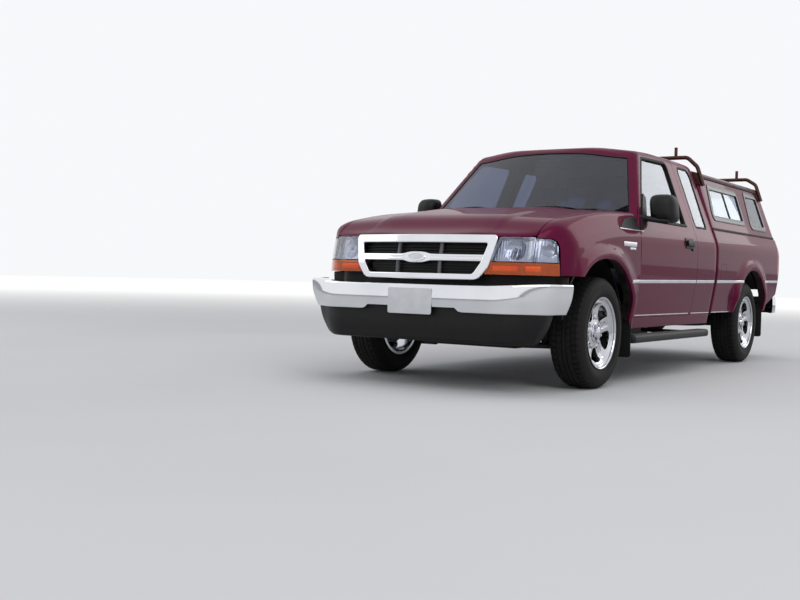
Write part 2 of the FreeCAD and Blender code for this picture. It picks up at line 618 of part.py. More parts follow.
def build_front():
    shell = clip_solid().cut(clip_solid(SKIN))
    under = clip_solid(SKIN + SEAT_GAP)
    ahead = (fy(-FAR), fy(LAMP_OUTER_Y))
    top = prism("xy", hood_edges(0.0), LAMP_SPLIT_Z, 2.0 * FAR)
    above = prism("yz", [
        (fy(-FAR), LAMP_TOP_Z + 4.0), (fy(LAMP_OUTER_Y + 160.0), LAMP_TOP_Z + 4.0),
        (fy(FIREWALL_Y), BELT_Z - 32.0),
        (fy(FIREWALL_Y), 2.0 * FAR), (fy(-FAR), 2.0 * FAR),
    ], -FAR, FAR)
    keep("hood", shell.common(prism("xy", hood_edges(PANEL_GAP), LAMP_SPLIT_Z, 2.0 * FAR)).common(above))
    # Fender: the side of the shell, from the lamps to the door, open over the wheel.
    fender = shell.common(box((0.0, FAR), (fy(-FAR), fy(DOOR_FRONT_Y - PANEL_GAP)), (0.0, 2.0 * FAR)))
    fender = fender.cut(top.common(above))
    fender = fender.cut(box((0.0, HOOD_SIDE_X - 60.0), (fy(-FAR), fy(FAR)), (0.0, 2.0 * FAR)))
    fender = fender.cut(box((0.0, HOOD_SIDE_X + 7.0), (fy(-FAR), fy(HOOD_REAR_Y)), (0.0, LAMP_TOP_Z)))
    fender = fender.cut(box((0.0, SILL_X - 2.0 * SKIN), (fy(-FAR), fy(FAR)), (0.0, FLOOR_Z)))
    fender = fender.cut(box((0.0, FAR), ahead, (0.0, LAMP_TOP_Z + 3.0)))
    fender = fuse(fender, flare(0.0)).cut(arch(0.0, ARCH_RADIUS))
    fender = fender.cut(box((0.0, FAR), (fy(-FAR), fy(-200.0)), (0.0, LAMP_BOTTOM_Z)))
    keep("fenders", fender, mirrored(fender))

    liner = arch(0.0, ARCH_RADIUS + LINER, LINER_X, SILL_X - SKIN - 2.0).cut(arch(0.0, ARCH_RADIUS))
    liner = liner.common(box((0.0, FAR), (fy(-FAR), fy(FIREWALL_Y) - SEAT_GAP), (RAIL_Z + 55.0, 2.0 * FAR)))
    apron = box(
        (HOOD_SIDE_X - 46.0, HOOD_SIDE_X - 46.0 + LINER),
        (fy(RADIATOR_Y + RADIATOR_DEPTH) + SEAT_GAP, fy(FIREWALL_Y) - SEAT_GAP),
        (FLOOR_Z + 100.0, FAR),
    ).common(under)
    inner_fender = fuse(liner, apron).cut(arch(0.0, ARCH_RADIUS))
    keep("inner_fenders", inner_fender, mirrored(inner_fender))

    # Lamps and grille are slices of the nose's own form.
    lamp_box = box((LAMP_INNER_X, FAR), ahead, (LAMP_SPLIT_Z + 2.0, LAMP_TOP_Z))
    amber_box = box((LAMP_INNER_X - 60.0, FAR), ahead, (LAMP_BOTTOM_Z, LAMP_SPLIT_Z - 2.0))
    lamp = clip_solid(2.0).cut(clip_solid(LAMP_DEPTH)).common(lamp_box)
    amber = clip_solid(1.0).cut(clip_solid(LAMP_DEPTH)).common(amber_box)
    keep("headlamps", lamp, mirrored(lamp))
    keep("turn_lamps", amber, mirrored(amber))

    top_x = LAMP_INNER_X - 13.0
    low_z = LAMP_TOP_Z - GRILLE_HEIGHT
    edge = both([
        (top_x - GRILLE_TAPER, low_z, 60.0), (top_x - 55.0, LAMP_SPLIT_Z - 4.0, 20.0),
        (top_x, LAMP_SPLIT_Z + 10.0, 12.0), (top_x, LAMP_TOP_Z, 20.0),
    ])
    whole = prism("xz", edge, *ahead)
    hole = prism("xz", inset(edge, GRILLE_RING), *ahead)
    slab = clip_solid(-GRILLE_PROUD).cut(clip_solid(GRILLE_DEPTH))
    middle = (low_z + LAMP_TOP_Z) / 2.0
    bar = centred(2.0 * top_x, ahead, (middle - GRILLE_BAR / 2.0, middle + GRILLE_BAR / 2.0)).common(hole)
    keep("grille", fuse(slab.common(whole).cut(hole), slab.common(bar)))

    # Bumper: a deep curved beam, with a skirt under it.
    face = fy(-FRONT_OVERHANG) + PLATE_THICK + SEAT_GAP
    end, turn = fy(LAMP_OUTER_Y), fy(LAMP_OUTER_Y - 140.0)
    plan = both([
        (BUMPER_HALF - 244.0, face, 300.0), (BUMPER_HALF - 6.0, turn, 120.0), (BUMPER_HALF - 4.0, end),
    ])
    back = both([
        (BUMPER_HALF - BUMPER_DEPTH, end + 20.0), (BUMPER_HALF - BUMPER_DEPTH, turn + 40.0, 90.0),
        (BUMPER_HALF - 264.0, face + BUMPER_DEPTH, 240.0),
    ])
    hollow = prism("xy", back, 0.0, FAR)
    keep("front_bumper", prism("xy", plan, BUMPER_BOTTOM_Z, BUMPER_TOP_Z).cut(hollow))
    skirt_z = (BUMPER_BOTTOM_Z - VALANCE_HEIGHT, BUMPER_BOTTOM_Z - SEAT_GAP)
    skirt = prism("xy", inset(plan, VALANCE_TUCK), *skirt_z)
    keep("front_valance", skirt.cut(hollow).common(centred(2.0 * FAR, (fy(-FAR), end - 60.0), (0.0, FAR))))


def make_tyre(center_x, axle_y):
    """Tyre with its axis along X."""
    half, tread = TYRE_WIDTH / 2.0, TYRE_WIDTH / 2.0 - 12.0
    bead, seat = RIM_WIDTH / 2.0 - RIM_LIP_THICK - SEAT_GAP, RIM_RADIUS + RIM_LIP + 1.0
    bulge = TYRE_RADIUS - SIDEWALL_DROP
    tyre = revolved([
        (-bead, RIM_RADIUS), (-bead, seat), (-half, bulge, 60.0), (-tread, TYRE_RADIUS, TYRE_SHOULDER),
        (tread, TYRE_RADIUS, TYRE_SHOULDER), (half, bulge, 60.0), (bead, seat), (bead, RIM_RADIUS),
    ])
    tyre.translate(Vector(center_x, fy(axle_y), TYRE_RADIUS))
    return tyre


def make_wheel(center_x, axle_y, brake_thick):
    """Left wheel: barrel, spoked face, hub, and its brake; and the x of the brake's inner face."""
    half = RIM_WIDTH / 2.0
    inner, lip = RIM_RADIUS - RIM_WALL, RIM_RADIUS + RIM_LIP
    step = half - RIM_LIP_THICK
    shapes = [revolved([
        (-half, lip), (-half, inner), (half, inner), (half, lip),
        (step, lip), (step, RIM_RADIUS), (-step, RIM_RADIUS), (-step, lip),
    ])]
    face_out = half - SPOKE_RECESS
    face_in = face_out - SPOKE_DEPTH
    brake_in = face_in - brake_thick - 42.0
    shapes.append(rod((face_in, 0.0, 0.0), (face_out, 0.0, 0.0), HUB_RADIUS))
    for i in range(SPOKE_COUNT):
        spoke = box((face_in, face_out), (-SPOKE_WIDTH / 2.0, SPOKE_WIDTH / 2.0), (0.0, inner + 2.0))
        spoke.rotate(Vector(0, 0, 0), Vector(1, 0, 0), 360.0 * i / SPOKE_COUNT)
        shapes.append(spoke)
    shapes.append(rod((face_out - 4.0, 0.0, 0.0), (face_out + 18.0, 0.0, 0.0), CAP_RADIUS))
    shapes.append(rod((brake_in, 0.0, 0.0), (brake_in + brake_thick, 0.0, 0.0), DISC_RADIUS))
    shapes.append(rod((brake_in, 0.0, 0.0), (face_in, 0.0, 0.0), 60.0))
    wheel = fuse(*shapes)
    wheel.translate(Vector(center_x, fy(axle_y), TYRE_RADIUS))
    return wheel, center_x + brake_in


def control_arm(inner_x, inner_half, outer_x, low, high):
    """Left wishbone: wide at its inner pivot, narrow under or over the knuckle."""
    y = fy(0.0)
    neck, eye = outer_x - 60.0, 22.0
    points = [
        (inner_x, y - inner_half, 8.0), (neck, y - eye), (outer_x, y - eye, 18.0),
        (outer_x, y + eye, 18.0), (neck, y + eye), (inner_x, y + inner_half, 8.0),
    ]
    return prism("xy", points, low, high)


def build_wheels():
    pair("tyre_front", make_tyre(FRONT_WHEEL_X, 0.0))
    pair("tyre_rear", make_tyre(REAR_WHEEL_X, WHEELBASE))
    front_wheel, front_face = make_wheel(FRONT_WHEEL_X, 0.0, DISC_THICK)
    rear_wheel, rear_face = make_wheel(REAR_WHEEL_X, WHEELBASE, DRUM_THICK)
    pair("wheel_front", front_wheel)
    pair("wheel_rear", rear_wheel)

    y = fy(0.0)
    low, high = TYRE_RADIUS - KNUCKLE_HALF, TYRE_RADIUS + KNUCKLE_HALF
    upright = box((KINGPIN_X - 30.0, front_face - SEAT_GAP), (y - 45.0, y + 45.0), (low, high))
    arm = box((KINGPIN_X - 30.0, KINGPIN_X), (y, y + 120.0), (low + 28.0, low + 28.0 + ARM_THICK))
    pair("knuckle", fuse(upright, arm))

    tower = RAIL_X + RAIL_WIDTH + SEAT_GAP
    under, over = low - SEAT_GAP, high + SEAT_GAP
    lower = control_arm(RAIL_X - 30.0, CRADLE_HALF, KINGPIN_X + 20.0, under - ARM_THICK, under)
    upper = control_arm(tower, CRADLE_HALF / 2.0, KINGPIN_X + 18.0, over, over + ARM_THICK)
    damper_x = RAIL_X + 96.0
    damper = rod((damper_x, y, low - 4.0), (damper_x, y, high + 4.0), 28.0)
    side = fuse(lower, upper, damper)
    keep("front_suspension", side, mirrored(side))

    y = fy(WHEELBASE)
    tube = rod((SEAT_GAP - rear_face, y, TYRE_RADIUS), (rear_face - SEAT_GAP, y, TYRE_RADIUS), AXLE_TUBE_R)
    casing = revolved([
        (-130.0, 30.0), (-130.0, 50.0, 20.0), (-60.0, CASING_RADIUS, 40.0),
        (60.0, CASING_RADIUS, 40.0), (130.0, 50.0, 20.0), (130.0, 30.0),
    ])
    casing.translate(Vector(0, y, TYRE_RADIUS))
    pinion = rod((0.0, y, TYRE_RADIUS), (0.0, y - PINION_REACH, TYRE_RADIUS + 20.0), 45.0)
    seat_z, eye = TYRE_RADIUS + AXLE_TUBE_R - 6.0, SPRING_HALF + 10.0
    spring = prism("yz", [
        (y - eye, SPRING_EYE_Z - 12.0), (y - 60.0, seat_z, 700.0), (y + 60.0, seat_z, 700.0),
        (y + eye, SPRING_EYE_Z - 12.0), (y + eye, SPRING_EYE_Z), (y + 60.0, seat_z + 40.0, 700.0),
        (y - 60.0, seat_z + 40.0, 700.0), (y - eye, SPRING_EYE_Z),
    ], SPRING_X - 30.0, SPRING_X + 30.0)
    keep("rear_axle", fuse(tube, casing, pinion, spring, mirrored(spring)))


def build_chassis():
    nose = fy(-FRONT_OVERHANG) + PLATE_THICK + BUMPER_DEPTH + 2.0 * SEAT_GAP
    tail = fy(BED_REAR_Y - 80.0)
    kick_low, kick_high = fy(WHEELBASE - 873.0), fy(WHEELBASE - 553.0)
    rear_top = RAIL_REAR_Z + RAIL_REAR_DEPTH
    rail = prism("yz", [
        (nose, RAIL_Z), (kick_low, RAIL_Z, 200.0), (kick_high, RAIL_REAR_Z, 200.0), (tail, RAIL_REAR_Z),
        (tail, rear_top), (kick_high - 60.0, rear_top, 200.0), (kick_low - 60.0, RAIL_Z + RAIL_DEPTH, 200.0),
        (nose, RAIL_Z + RAIL_DEPTH),
    ], RAIL_X - RAIL_WIDTH / 2.0, RAIL_X + RAIL_WIDTH / 2.0)
    shapes = [rail, mirrored(rail)]
    # Crossmembers: y from the front axle, bottom
    for y, z in (
        (RADIATOR_Y - 20.0, RAIL_Z + 10.0), (FIREWALL_Y + 150.0, RAIL_Z + 10.0),
        (DOOR_REAR_Y - 263.0, RAIL_Z - 45.0), (WHEELBASE - 533.0, RAIL_REAR_Z + 10.0),
        (WHEELBASE + 107.0, RAIL_REAR_Z), (BED_REAR_Y - 110.0, RAIL_REAR_Z),
    ):
        half = CROSSMEMBER_LENGTH / 2.0
        shapes.append(centred(2.0 * RAIL_X - 10.0, (fy(y - half), fy(y + half)), (z, z + CROSSMEMBER_HEIGHT)))
    # The cradle under the engine carries the lower arms, and a tower on each rail the upper arms.
    low = TYRE_RADIUS - KNUCKLE_HALF
    cradle = (fy(-CRADLE_HALF), fy(CRADLE_HALF))
    shapes.append(centred(2.0 * (RAIL_X - 31.0), cradle, (low - 30.0, CRADLE_TOP_Z)))
    for y in (WHEELBASE - SPRING_HALF, WHEELBASE + SPRING_HALF):
        span = (fy(y - 26.0), fy(y + 26.0))
        hanger = box((RAIL_X + 20.0, SPRING_X + 34.0), span, (SPRING_EYE_Z + SEAT_GAP, rear_top - 40.0))
        shapes += [hanger, mirrored(hanger)]
    leg = box((RAIL_X - 39.0, RAIL_X - 11.0), (fy(-120.0), fy(120.0)), (low + 10.0, RAIL_Z + 15.0))
    tower = box((RAIL_X + 20.0, RAIL_X + RAIL_WIDTH), (fy(-90.0), fy(90.0)), (RAIL_Z + 33.0, RAIL_Z + 98.0))
    shapes += [leg, mirrored(leg), tower, mirrored(tower)]
    # Body mounts lift the bed floor off the rails.
    for behind in (-513.0, -113.0, 367.0, 767.0):
        y = fy(WHEELBASE + behind)
        mount = rod((RAIL_X, y, rear_top - 10.0), (RAIL_X, y, BED_FLOOR_Z - FLOOR_THICK), 24.0)
        shapes += [mount, mirrored(mount)]
    keep("frame", fuse(*shapes))

    rear_of_block = fy(-ENGINE_AHEAD + ENGINE_LENGTH)
    block = centred(ENGINE_WIDTH, (fy(-ENGINE_AHEAD), rear_of_block), (ENGINE_Z, ENGINE_Z + ENGINE_HEIGHT))
    box_end = GEARBOX_LENGTH - ENGINE_AHEAD + ENGINE_LENGTH
    gearbox_plan = both([(TUNNEL_HALF, rear_of_block - 10.0), (TUNNEL_HALF - 20.0, fy(box_end))])
    gearbox = prism("xy", gearbox_plan, RAIL_Z + 10.0 + CROSSMEMBER_HEIGHT + SEAT_GAP, TUNNEL_Z - 100.0)
    feet = centred(2.0 * (RAIL_X - 50.0), (fy(-40.0), fy(40.0)), (CRADLE_TOP_Z + SEAT_GAP, ENGINE_Z + 10.0))
    joint = (0.0, fy(WHEELBASE - PINION_REACH - 8.0), TYRE_RADIUS + 24.0)
    shaft = rod((0.0, fy(box_end + 1.0), TUNNEL_Z - 195.0), joint, 34.0)
    keep("powertrain", fuse(block, gearbox, feet), shaft)

    rear = fy(RADIATOR_Y + RADIATOR_DEPTH)
    core = centred(620.0, (fy(RADIATOR_Y), rear - 30.0), (FLOOR_Z - FLOOR_THICK, LAMP_TOP_Z - 45.0))
    panel = centred(2.0 * (HOOD_SIDE_X - 34.0), (rear - 36.0, rear), (FLOOR_Z - FLOOR_THICK, FAR))
    panel = panel.cut(centred(600.0, (fy(-FAR), fy(0.0)), (FLOOR_Z - 20.0, LAMP_TOP_Z - 55.0)))
    keep("radiator", fuse(core, panel.common(clip_solid(SKIN + SEAT_GAP))))

    pipe_x, low = RAIL_X - 160.0, RAIL_Z - 80.0
    high = ENGINE_Z + 40.0
    path = [
        (50.0 - pipe_x, rear_of_block + SEAT_GAP, high), (50.0 - pipe_x, rear_of_block + 160.0, high),
        (-pipe_x, fy(DOOR_FRONT_Y + 85.0), low), (-pipe_x, fy(CAB_REAR_Y + 100.0), low),
        (-SPRING_X - 60.0, kick_high, low + 40.0), (-SPRING_X - 60.0, kick_high + 120.0, low + 40.0),
    ]
    muffler_z = low + 20.0
    muffler_ends = (fy(CAB_REAR_Y - 642.0), fy(CAB_REAR_Y - 92.0))
    muffler = rod((-pipe_x, muffler_ends[0], muffler_z), (-pipe_x, muffler_ends[1], muffler_z), 80.0)
    keep("exhaust", fuse(pipe(path, 27.0, 110.0), muffler))

    tank_side = (90.0, RAIL_X - RAIL_WIDTH / 2.0 - SEAT_GAP)
    tank_ends = (fy(CAB_REAR_Y - 652.0), fy(CAB_REAR_Y - 42.0))
    keep("fuel_tank", box(tank_side, tank_ends, (RAIL_Z - 130.0, RAIL_Z + 70.0)))
    spare = make_tyre(0.0, 0.0)
    spare.translate(Vector(0, -fy(0.0), -TYRE_RADIUS))
    spare = fuse(spare, rod((40.0, 0.0, 0.0), (52.0, 0.0, 0.0), RIM_RADIUS))
    spare.rotate(Vector(0, 0, 0), Vector(0, 1, 0), -90.0)
    top = spare.optimalBoundingBox(False, False).ZMax
    spare.translate(Vector(0, fy(WHEELBASE + 519.0), RAIL_REAR_Z - SEAT_GAP - top))
    keep("spare_wheel", spare)


def bed_side_half():
    """Cross section of the left bed side: (x, z, radius)."""
    rail_x, inner = side_x(BED_RAIL_Z), HALF_WIDTH - BED_WALL
    return [
        (SILL_X + 12.0, BED_SKIRT_Z, 10.0), (HALF_WIDTH, WIDEST_Z, 1200.0), (SHOULDER_X, SHOULDER_Z, 300.0),
        (rail_x, BED_RAIL_Z, 12.0), (rail_x - BED_WALL - 20.0, BED_RAIL_Z, 8.0),
        (inner, SHOULDER_Z, 40.0), (inner, BED_FLOOR_Z - 20.0), (SILL_X - 20.0, BED_SKIRT_Z, 10.0),
    ]


def build_bed():
    front, rear = fy(BED_FRONT_Y), fy(BED_REAR_Y)
    under = BED_FLOOR_Z - FLOOR_THICK + SEAT_GAP
    skirt_cut = prism("yz", [
        (fy(WHEELBASE + 287.0), 0.0), (fy(WHEELBASE + 287.0), BED_SKIRT_Z - 6.0),
        (rear + 10.0, REAR_BUMPER_TOP_Z + 25.0), (rear + 10.0, 0.0),
    ], 0.0, FAR)
    plain = prism("xz", bed_side_half(), front, rear).cut(skirt_cut)
    # A box post at the rear edge carries the tail lamp and the tailgate's pivot.
    form = prism("xz", [(0.0, BED_SKIRT_Z)] + bed_side_half()[:4] + [(0.0, BED_RAIL_Z)], front, rear)
    post_x = TAILGATE_HALF + PANEL_GAP
    post = form.common(box((post_x, FAR), (rear - REAR_POST_DEPTH, rear), (under - 30.0, BED_RAIL_Z)))
    pivot = box(
        (TAILGATE_HALF + SEAT_GAP, post_x + 5.0),
        (rear - 34.0, rear - 6.0),
        (TAILGATE_BOTTOM_Z + 4.0, TAILGATE_BOTTOM_Z + 30.0),
    )
    plain = fuse(plain, post, pivot)
    side = fuse(plain, flare(WHEELBASE)).cut(arch(WHEELBASE, ARCH_RADIUS))
    lamp_z = WIDEST_Z + 20.0
    lamp_box = box((post_x + 28.0, FAR), (rear - 70.0, rear + 1.0), (lamp_z, lamp_z + TAIL_LAMP_HEIGHT))
    lamp = side.common(lamp_box)
    # Fuel door in the left side, on a lug at its front edge.
    flap_y, flap_z = BED_FRONT_Y + 98.0, WIDEST_Z - 44.0
    flap_ends = (fy(flap_y), fy(flap_y + FUEL_DOOR_SIZE))
    pocket = box(
        (HALF_WIDTH - 2.0 * FUEL_DOOR_THICK, FAR),
        (flap_ends[0] - PANEL_GAP, flap_ends[1] + PANEL_GAP),
        (flap_z - PANEL_GAP, flap_z + FUEL_DOOR_SIZE + PANEL_GAP),
    )
    flap = side.common(box((HALF_WIDTH - FUEL_DOOR_THICK, FAR), flap_ends, (flap_z, flap_z + FUEL_DOOR_SIZE)))
    lug = box(
        (HALF_WIDTH - 20.0, HALF_WIDTH - 6.0),
        (flap_ends[0] - PANEL_GAP - 8.0, flap_ends[0] - SEAT_GAP),
        (flap_z + 48.0, flap_z + 84.0),
    )
    left = fuse(plain.cut(lamp_box).cut(pocket), lug)
    left = fuse(left, flare(WHEELBASE)).cut(arch(WHEELBASE, ARCH_RADIUS))
    keep("bed_sides", left, mirrored(side.cut(lamp_box)))
    keep("tail_lamps", lamp, mirrored(lamp))
    keep("fuel_door", flap)

    inner = HALF_WIDTH - BED_WALL - 2.0
    floor = centred(2.0 * inner, (front, rear - REAR_POST_DEPTH - SEAT_GAP), (under, BED_FLOOR_Z))
    head = centred(2.0 * inner, (front, front + 40.0), (under, BED_RAIL_Z - 2.0))
    head = head.cut(fuse(side, mirrored(side)))
    house = arch(WHEELBASE, ARCH_RADIUS + LINER, WHEELHOUSE_X - LINER, inner)
    house = house.cut(arch(WHEELBASE, ARCH_RADIUS, WHEELHOUSE_X, FAR))
    house = house.common(box((0.0, FAR), (fy(BED_FRONT_Y), rear), (BED_FLOOR_Z - FLOOR_THICK, FAR)))
    sill_ends = (rear - REAR_POST_DEPTH - 5.0, rear - TAILGATE_THICK - PANEL_GAP)
    sill = centred(2.0 * TAILGATE_HALF, sill_ends, (under, BED_FLOOR_Z))
    bed = fuse(floor, sill, head, house, mirrored(house))
    wheel_room = arch(WHEELBASE, ARCH_RADIUS, WHEELHOUSE_X, FAR)
    keep("bed_floor", bed.cut(wheel_room).cut(mirrored(wheel_room)))
    gate_z = (TAILGATE_BOTTOM_Z, BED_RAIL_Z - 23.0)
    keep("tailgate", centred(2.0 * TAILGATE_HALF, (rear - TAILGATE_THICK, rear), gate_z))

    tail = fy(TAIL_Y) - PLATE_THICK - SEAT_GAP
    low_z = REAR_BUMPER_TOP_Z - REAR_BUMPER_HEIGHT
    end_x = HALF_WIDTH - 30.0
    plan = both([(end_x, rear - 60.0), (end_x, rear + 70.0, 40.0), (HALF_WIDTH - 274.0, tail, 200.0)])
    step = prism("xy", plan, low_z, REAR_BUMPER_TOP_Z)
    hollow = inset(plan, REAR_BUMPER_SHEET)
    hollow[0], hollow[-1] = (hollow[0][0], rear - 70.0), (hollow[-1][0], rear - 70.0)
    step = step.cut(prism("xy", hollow, low_z - 1.0, REAR_BUMPER_TOP_Z - TOW_PLATE))
    hole_y = (rear + fy(TAIL_Y)) / 2.0
    step = step.cut(rod((0.0, hole_y, 0.0), (0.0, hole_y, FAR), TOW_HOLE_R))
    bracket = box(
        (RAIL_X - 40.0, RAIL_X + 40.0),
        (fy(BED_REAR_Y - 80.0) + SEAT_GAP, tail - 10.0),
        (RAIL_REAR_Z - 20.0, REAR_BUMPER_TOP_Z - 2.0),
    )
    keep("rear_bumper", fuse(step, bracket, mirrored(bracket)))
    face, bumper_mid = fy(-FRONT_OVERHANG), (BUMPER_TOP_Z + BUMPER_BOTTOM_Z) / 2.0
    front_low = bumper_mid - 18.0 - PLATE_HEIGHT / 2.0
    plate = centred(PLATE_WIDTH, (face, face + PLATE_THICK), (front_low, front_low + PLATE_HEIGHT))
    back_y, back_z = tail + SEAT_GAP, low_z + 1.0
    back = centred(PLATE_WIDTH, (back_y, back_y + PLATE_THICK), (back_z, back_z + PLATE_HEIGHT))
    keep("plates", plate, back)


def canopy_rear(z):
    """Distance of the canopy's rear wall behind the front axle at a height."""
    return BED_REAR_Y - 2.0 - CANOPY_REAR_LEAN * (z - CANOPY_BASE_Z) / (CANOPY_TOP_Z - CANOPY_BASE_Z)


def canopy_solid(distance=0.0):
    """Closed form of the canopy over the bed, moved inward by a distance."""
    section = both([
        (side_x(CANOPY_BASE_Z) - 6.0, CANOPY_BASE_Z), (CANOPY_EDGE_X, CANOPY_EDGE_Z, 60.0),
        (CANOPY_EDGE_X - CROWN_INSET - 50.0, CANOPY_TOP_Z, 900.0),
    ])
    front = BED_FRONT_Y + 4.0
    profile = [
        (fy(front), CANOPY_BASE_Z), (fy(front + CANOPY_FRONT_LEAN), CANOPY_TOP_Z + 8.0, 60.0),
        (fy(canopy_rear(CANOPY_TOP_Z)), CANOPY_TOP_Z + 8.0, 60.0),
        (fy(canopy_rear(CANOPY_BASE_Z)), CANOPY_BASE_Z),
    ]
    if distance:
        section, profile = inset(section, distance), inset(profile, distance)
    return prism("xz", section, fy(0.0), fy(TAIL_Y + FAR)).common(prism("yz", profile, -FAR, FAR))


def build_canopy():
    outer, inner = canopy_solid(), canopy_solid(CANOPY_WALL)
    lip_x = side_x(CANOPY_BASE_Z) - 4.0 * CANOPY_WALL
    ends = (fy(BED_FRONT_Y + 2.0 * CANOPY_WALL), fy(BED_REAR_Y + CANOPY_WALL))
    shell = outer.cut(inner).cut(centred(2.0 * lip_x, ends, (0.0, CANOPY_BASE_Z + CANOPY_WALL + 1.0)))
    low, high = CANOPY_WINDOW_Z, CANOPY_WINDOW_Z + CANOPY_WINDOW_HEIGHT
    # Side windows: four corners of y and z
    windows = [
        [
            (BED_FRONT_Y + 124.0, low + 20.0), (BED_FRONT_Y + 232.0, high - 18.0),
            (WHEELBASE + 49.0, high - 18.0), (WHEELBASE + 20.0, low + 20.0),
        ],
        [
            (BED_REAR_Y - 688.0, low), (BED_REAR_Y - 593.0, high),
            (BED_REAR_Y - 227.0, high), (BED_REAR_Y - 230.0, low),
        ],
    ]
    between = canopy_solid(4.0).cut(canopy_solid(4.0 + GLASS))
    panes = []
    for corners in windows:
        hole = prism("yz", [(fy(y), z, 30.0) for y, z in corners], lip_x - 150.0, FAR)
        shell = shell.cut(hole).cut(mirrored(hole))
        pane = between.common(hole)
        panes += [pane, mirrored(pane)]
    front_points = both([
        (CANOPY_EDGE_X - 95.0, low + 15.0, 40.0), (CANOPY_EDGE_X - 155.0, high + 15.0, 40.0),
    ])
    hole = prism("xz", front_points, fy(CAB_REAR_Y), fy(BED_FRONT_Y + 3.0 * CANOPY_WALL))
    panes.append(between.common(hole))
    # The hatch takes the rear wall between the corner posts.
    base_z, top_z = CANOPY_BASE_Z + 14.0, CANOPY_EDGE_Z - 25.0
    points = both([(side_x(base_z) - 130.0, base_z, 30.0), (CANOPY_EDGE_X - 95.0, top_z, 40.0)])
    span = (fy(BED_REAR_Y - 170.0), fy(BED_REAR_Y + 60.0))
    shell = shell.cut(hole).cut(prism("xz", inset(points, -PANEL_GAP), *span))
    slab = outer.cut(inner).common(prism("xz", points, *span))
    hatch_hole = prism("xz", inset(points, HATCH_FRAME), *span)
    pane = slab.cut(canopy_solid(4.0 + GLASS)).cut(outer.cut(canopy_solid(4.0))).common(hatch_hole)
    hinge_y = fy(canopy_rear(top_z))
    lug_span = (hinge_y - 30.0, hinge_y - 3.0), (top_z + SEAT_GAP, top_z + 12.0)
    lugs = [centred(70.0, *lug_span, x) for x in (-320.0, 320.0)]
    keep("canopy_shell", fuse(shell, *lugs))
    keep("canopy_glass", *panes)
    keep("hatch", slab.cut(hatch_hole), pane)

    # Rack bars: y from the front axle, height over the canopy's roof
    shapes = []
    slope = (side_x(CANOPY_BASE_Z) - 6.0 - CANOPY_EDGE_X) / (CANOPY_EDGE_Z - CANOPY_BASE_Z)
    proud = (RACK_TUBE_R + RACK_PLATE_THICK / 2.0) * math.hypot(1.0, slope)
    skin = canopy_solid(-RACK_PLATE_THICK).cut(canopy_solid(-SEAT_GAP))
    for y, rise in ((BED_FRONT_Y + RACK_FRONT_SETBACK, 68.0), (BED_REAR_Y - RACK_REAR_SETBACK, 43.0)):
        bar_z, foot_z = CANOPY_TOP_Z + rise, CANOPY_EDGE_Z - RACK_PLATE_HEIGHT
        foot_x, edge_x = CANOPY_EDGE_X + slope * RACK_PLATE_HEIGHT + proud, CANOPY_EDGE_X + proud
        half = [
            (foot_x, fy(y), foot_z),
            (edge_x - 12.0, fy(y), CANOPY_EDGE_Z + 38.0),
            (edge_x - 95.0, fy(y), bar_z),
        ]
        path = [(-p[0],) + p[1:] for p in half] + half[::-1]
        post_x, post_z = CANOPY_EDGE_X - RACK_POST_INSET, bar_z + RACK_POST_HEIGHT
        post = rod((post_x, fy(y), bar_z), (post_x, fy(y), post_z), RACK_TUBE_R - 3.0)
        plate_ends = (fy(y - RACK_PLATE_WIDTH / 2.0), fy(y + RACK_PLATE_WIDTH / 2.0))
        plate = skin.common(centred(2.0 * FAR, plate_ends, (foot_z + 8.0, CANOPY_EDGE_Z - 10.0)))
        bar = fuse(pipe(path, RACK_TUBE_R, 60.0), plate, post, mirrored(post))
        shapes.append(bar.cut(canopy_solid(-SEAT_GAP)))
    keep("rack", *shapes)


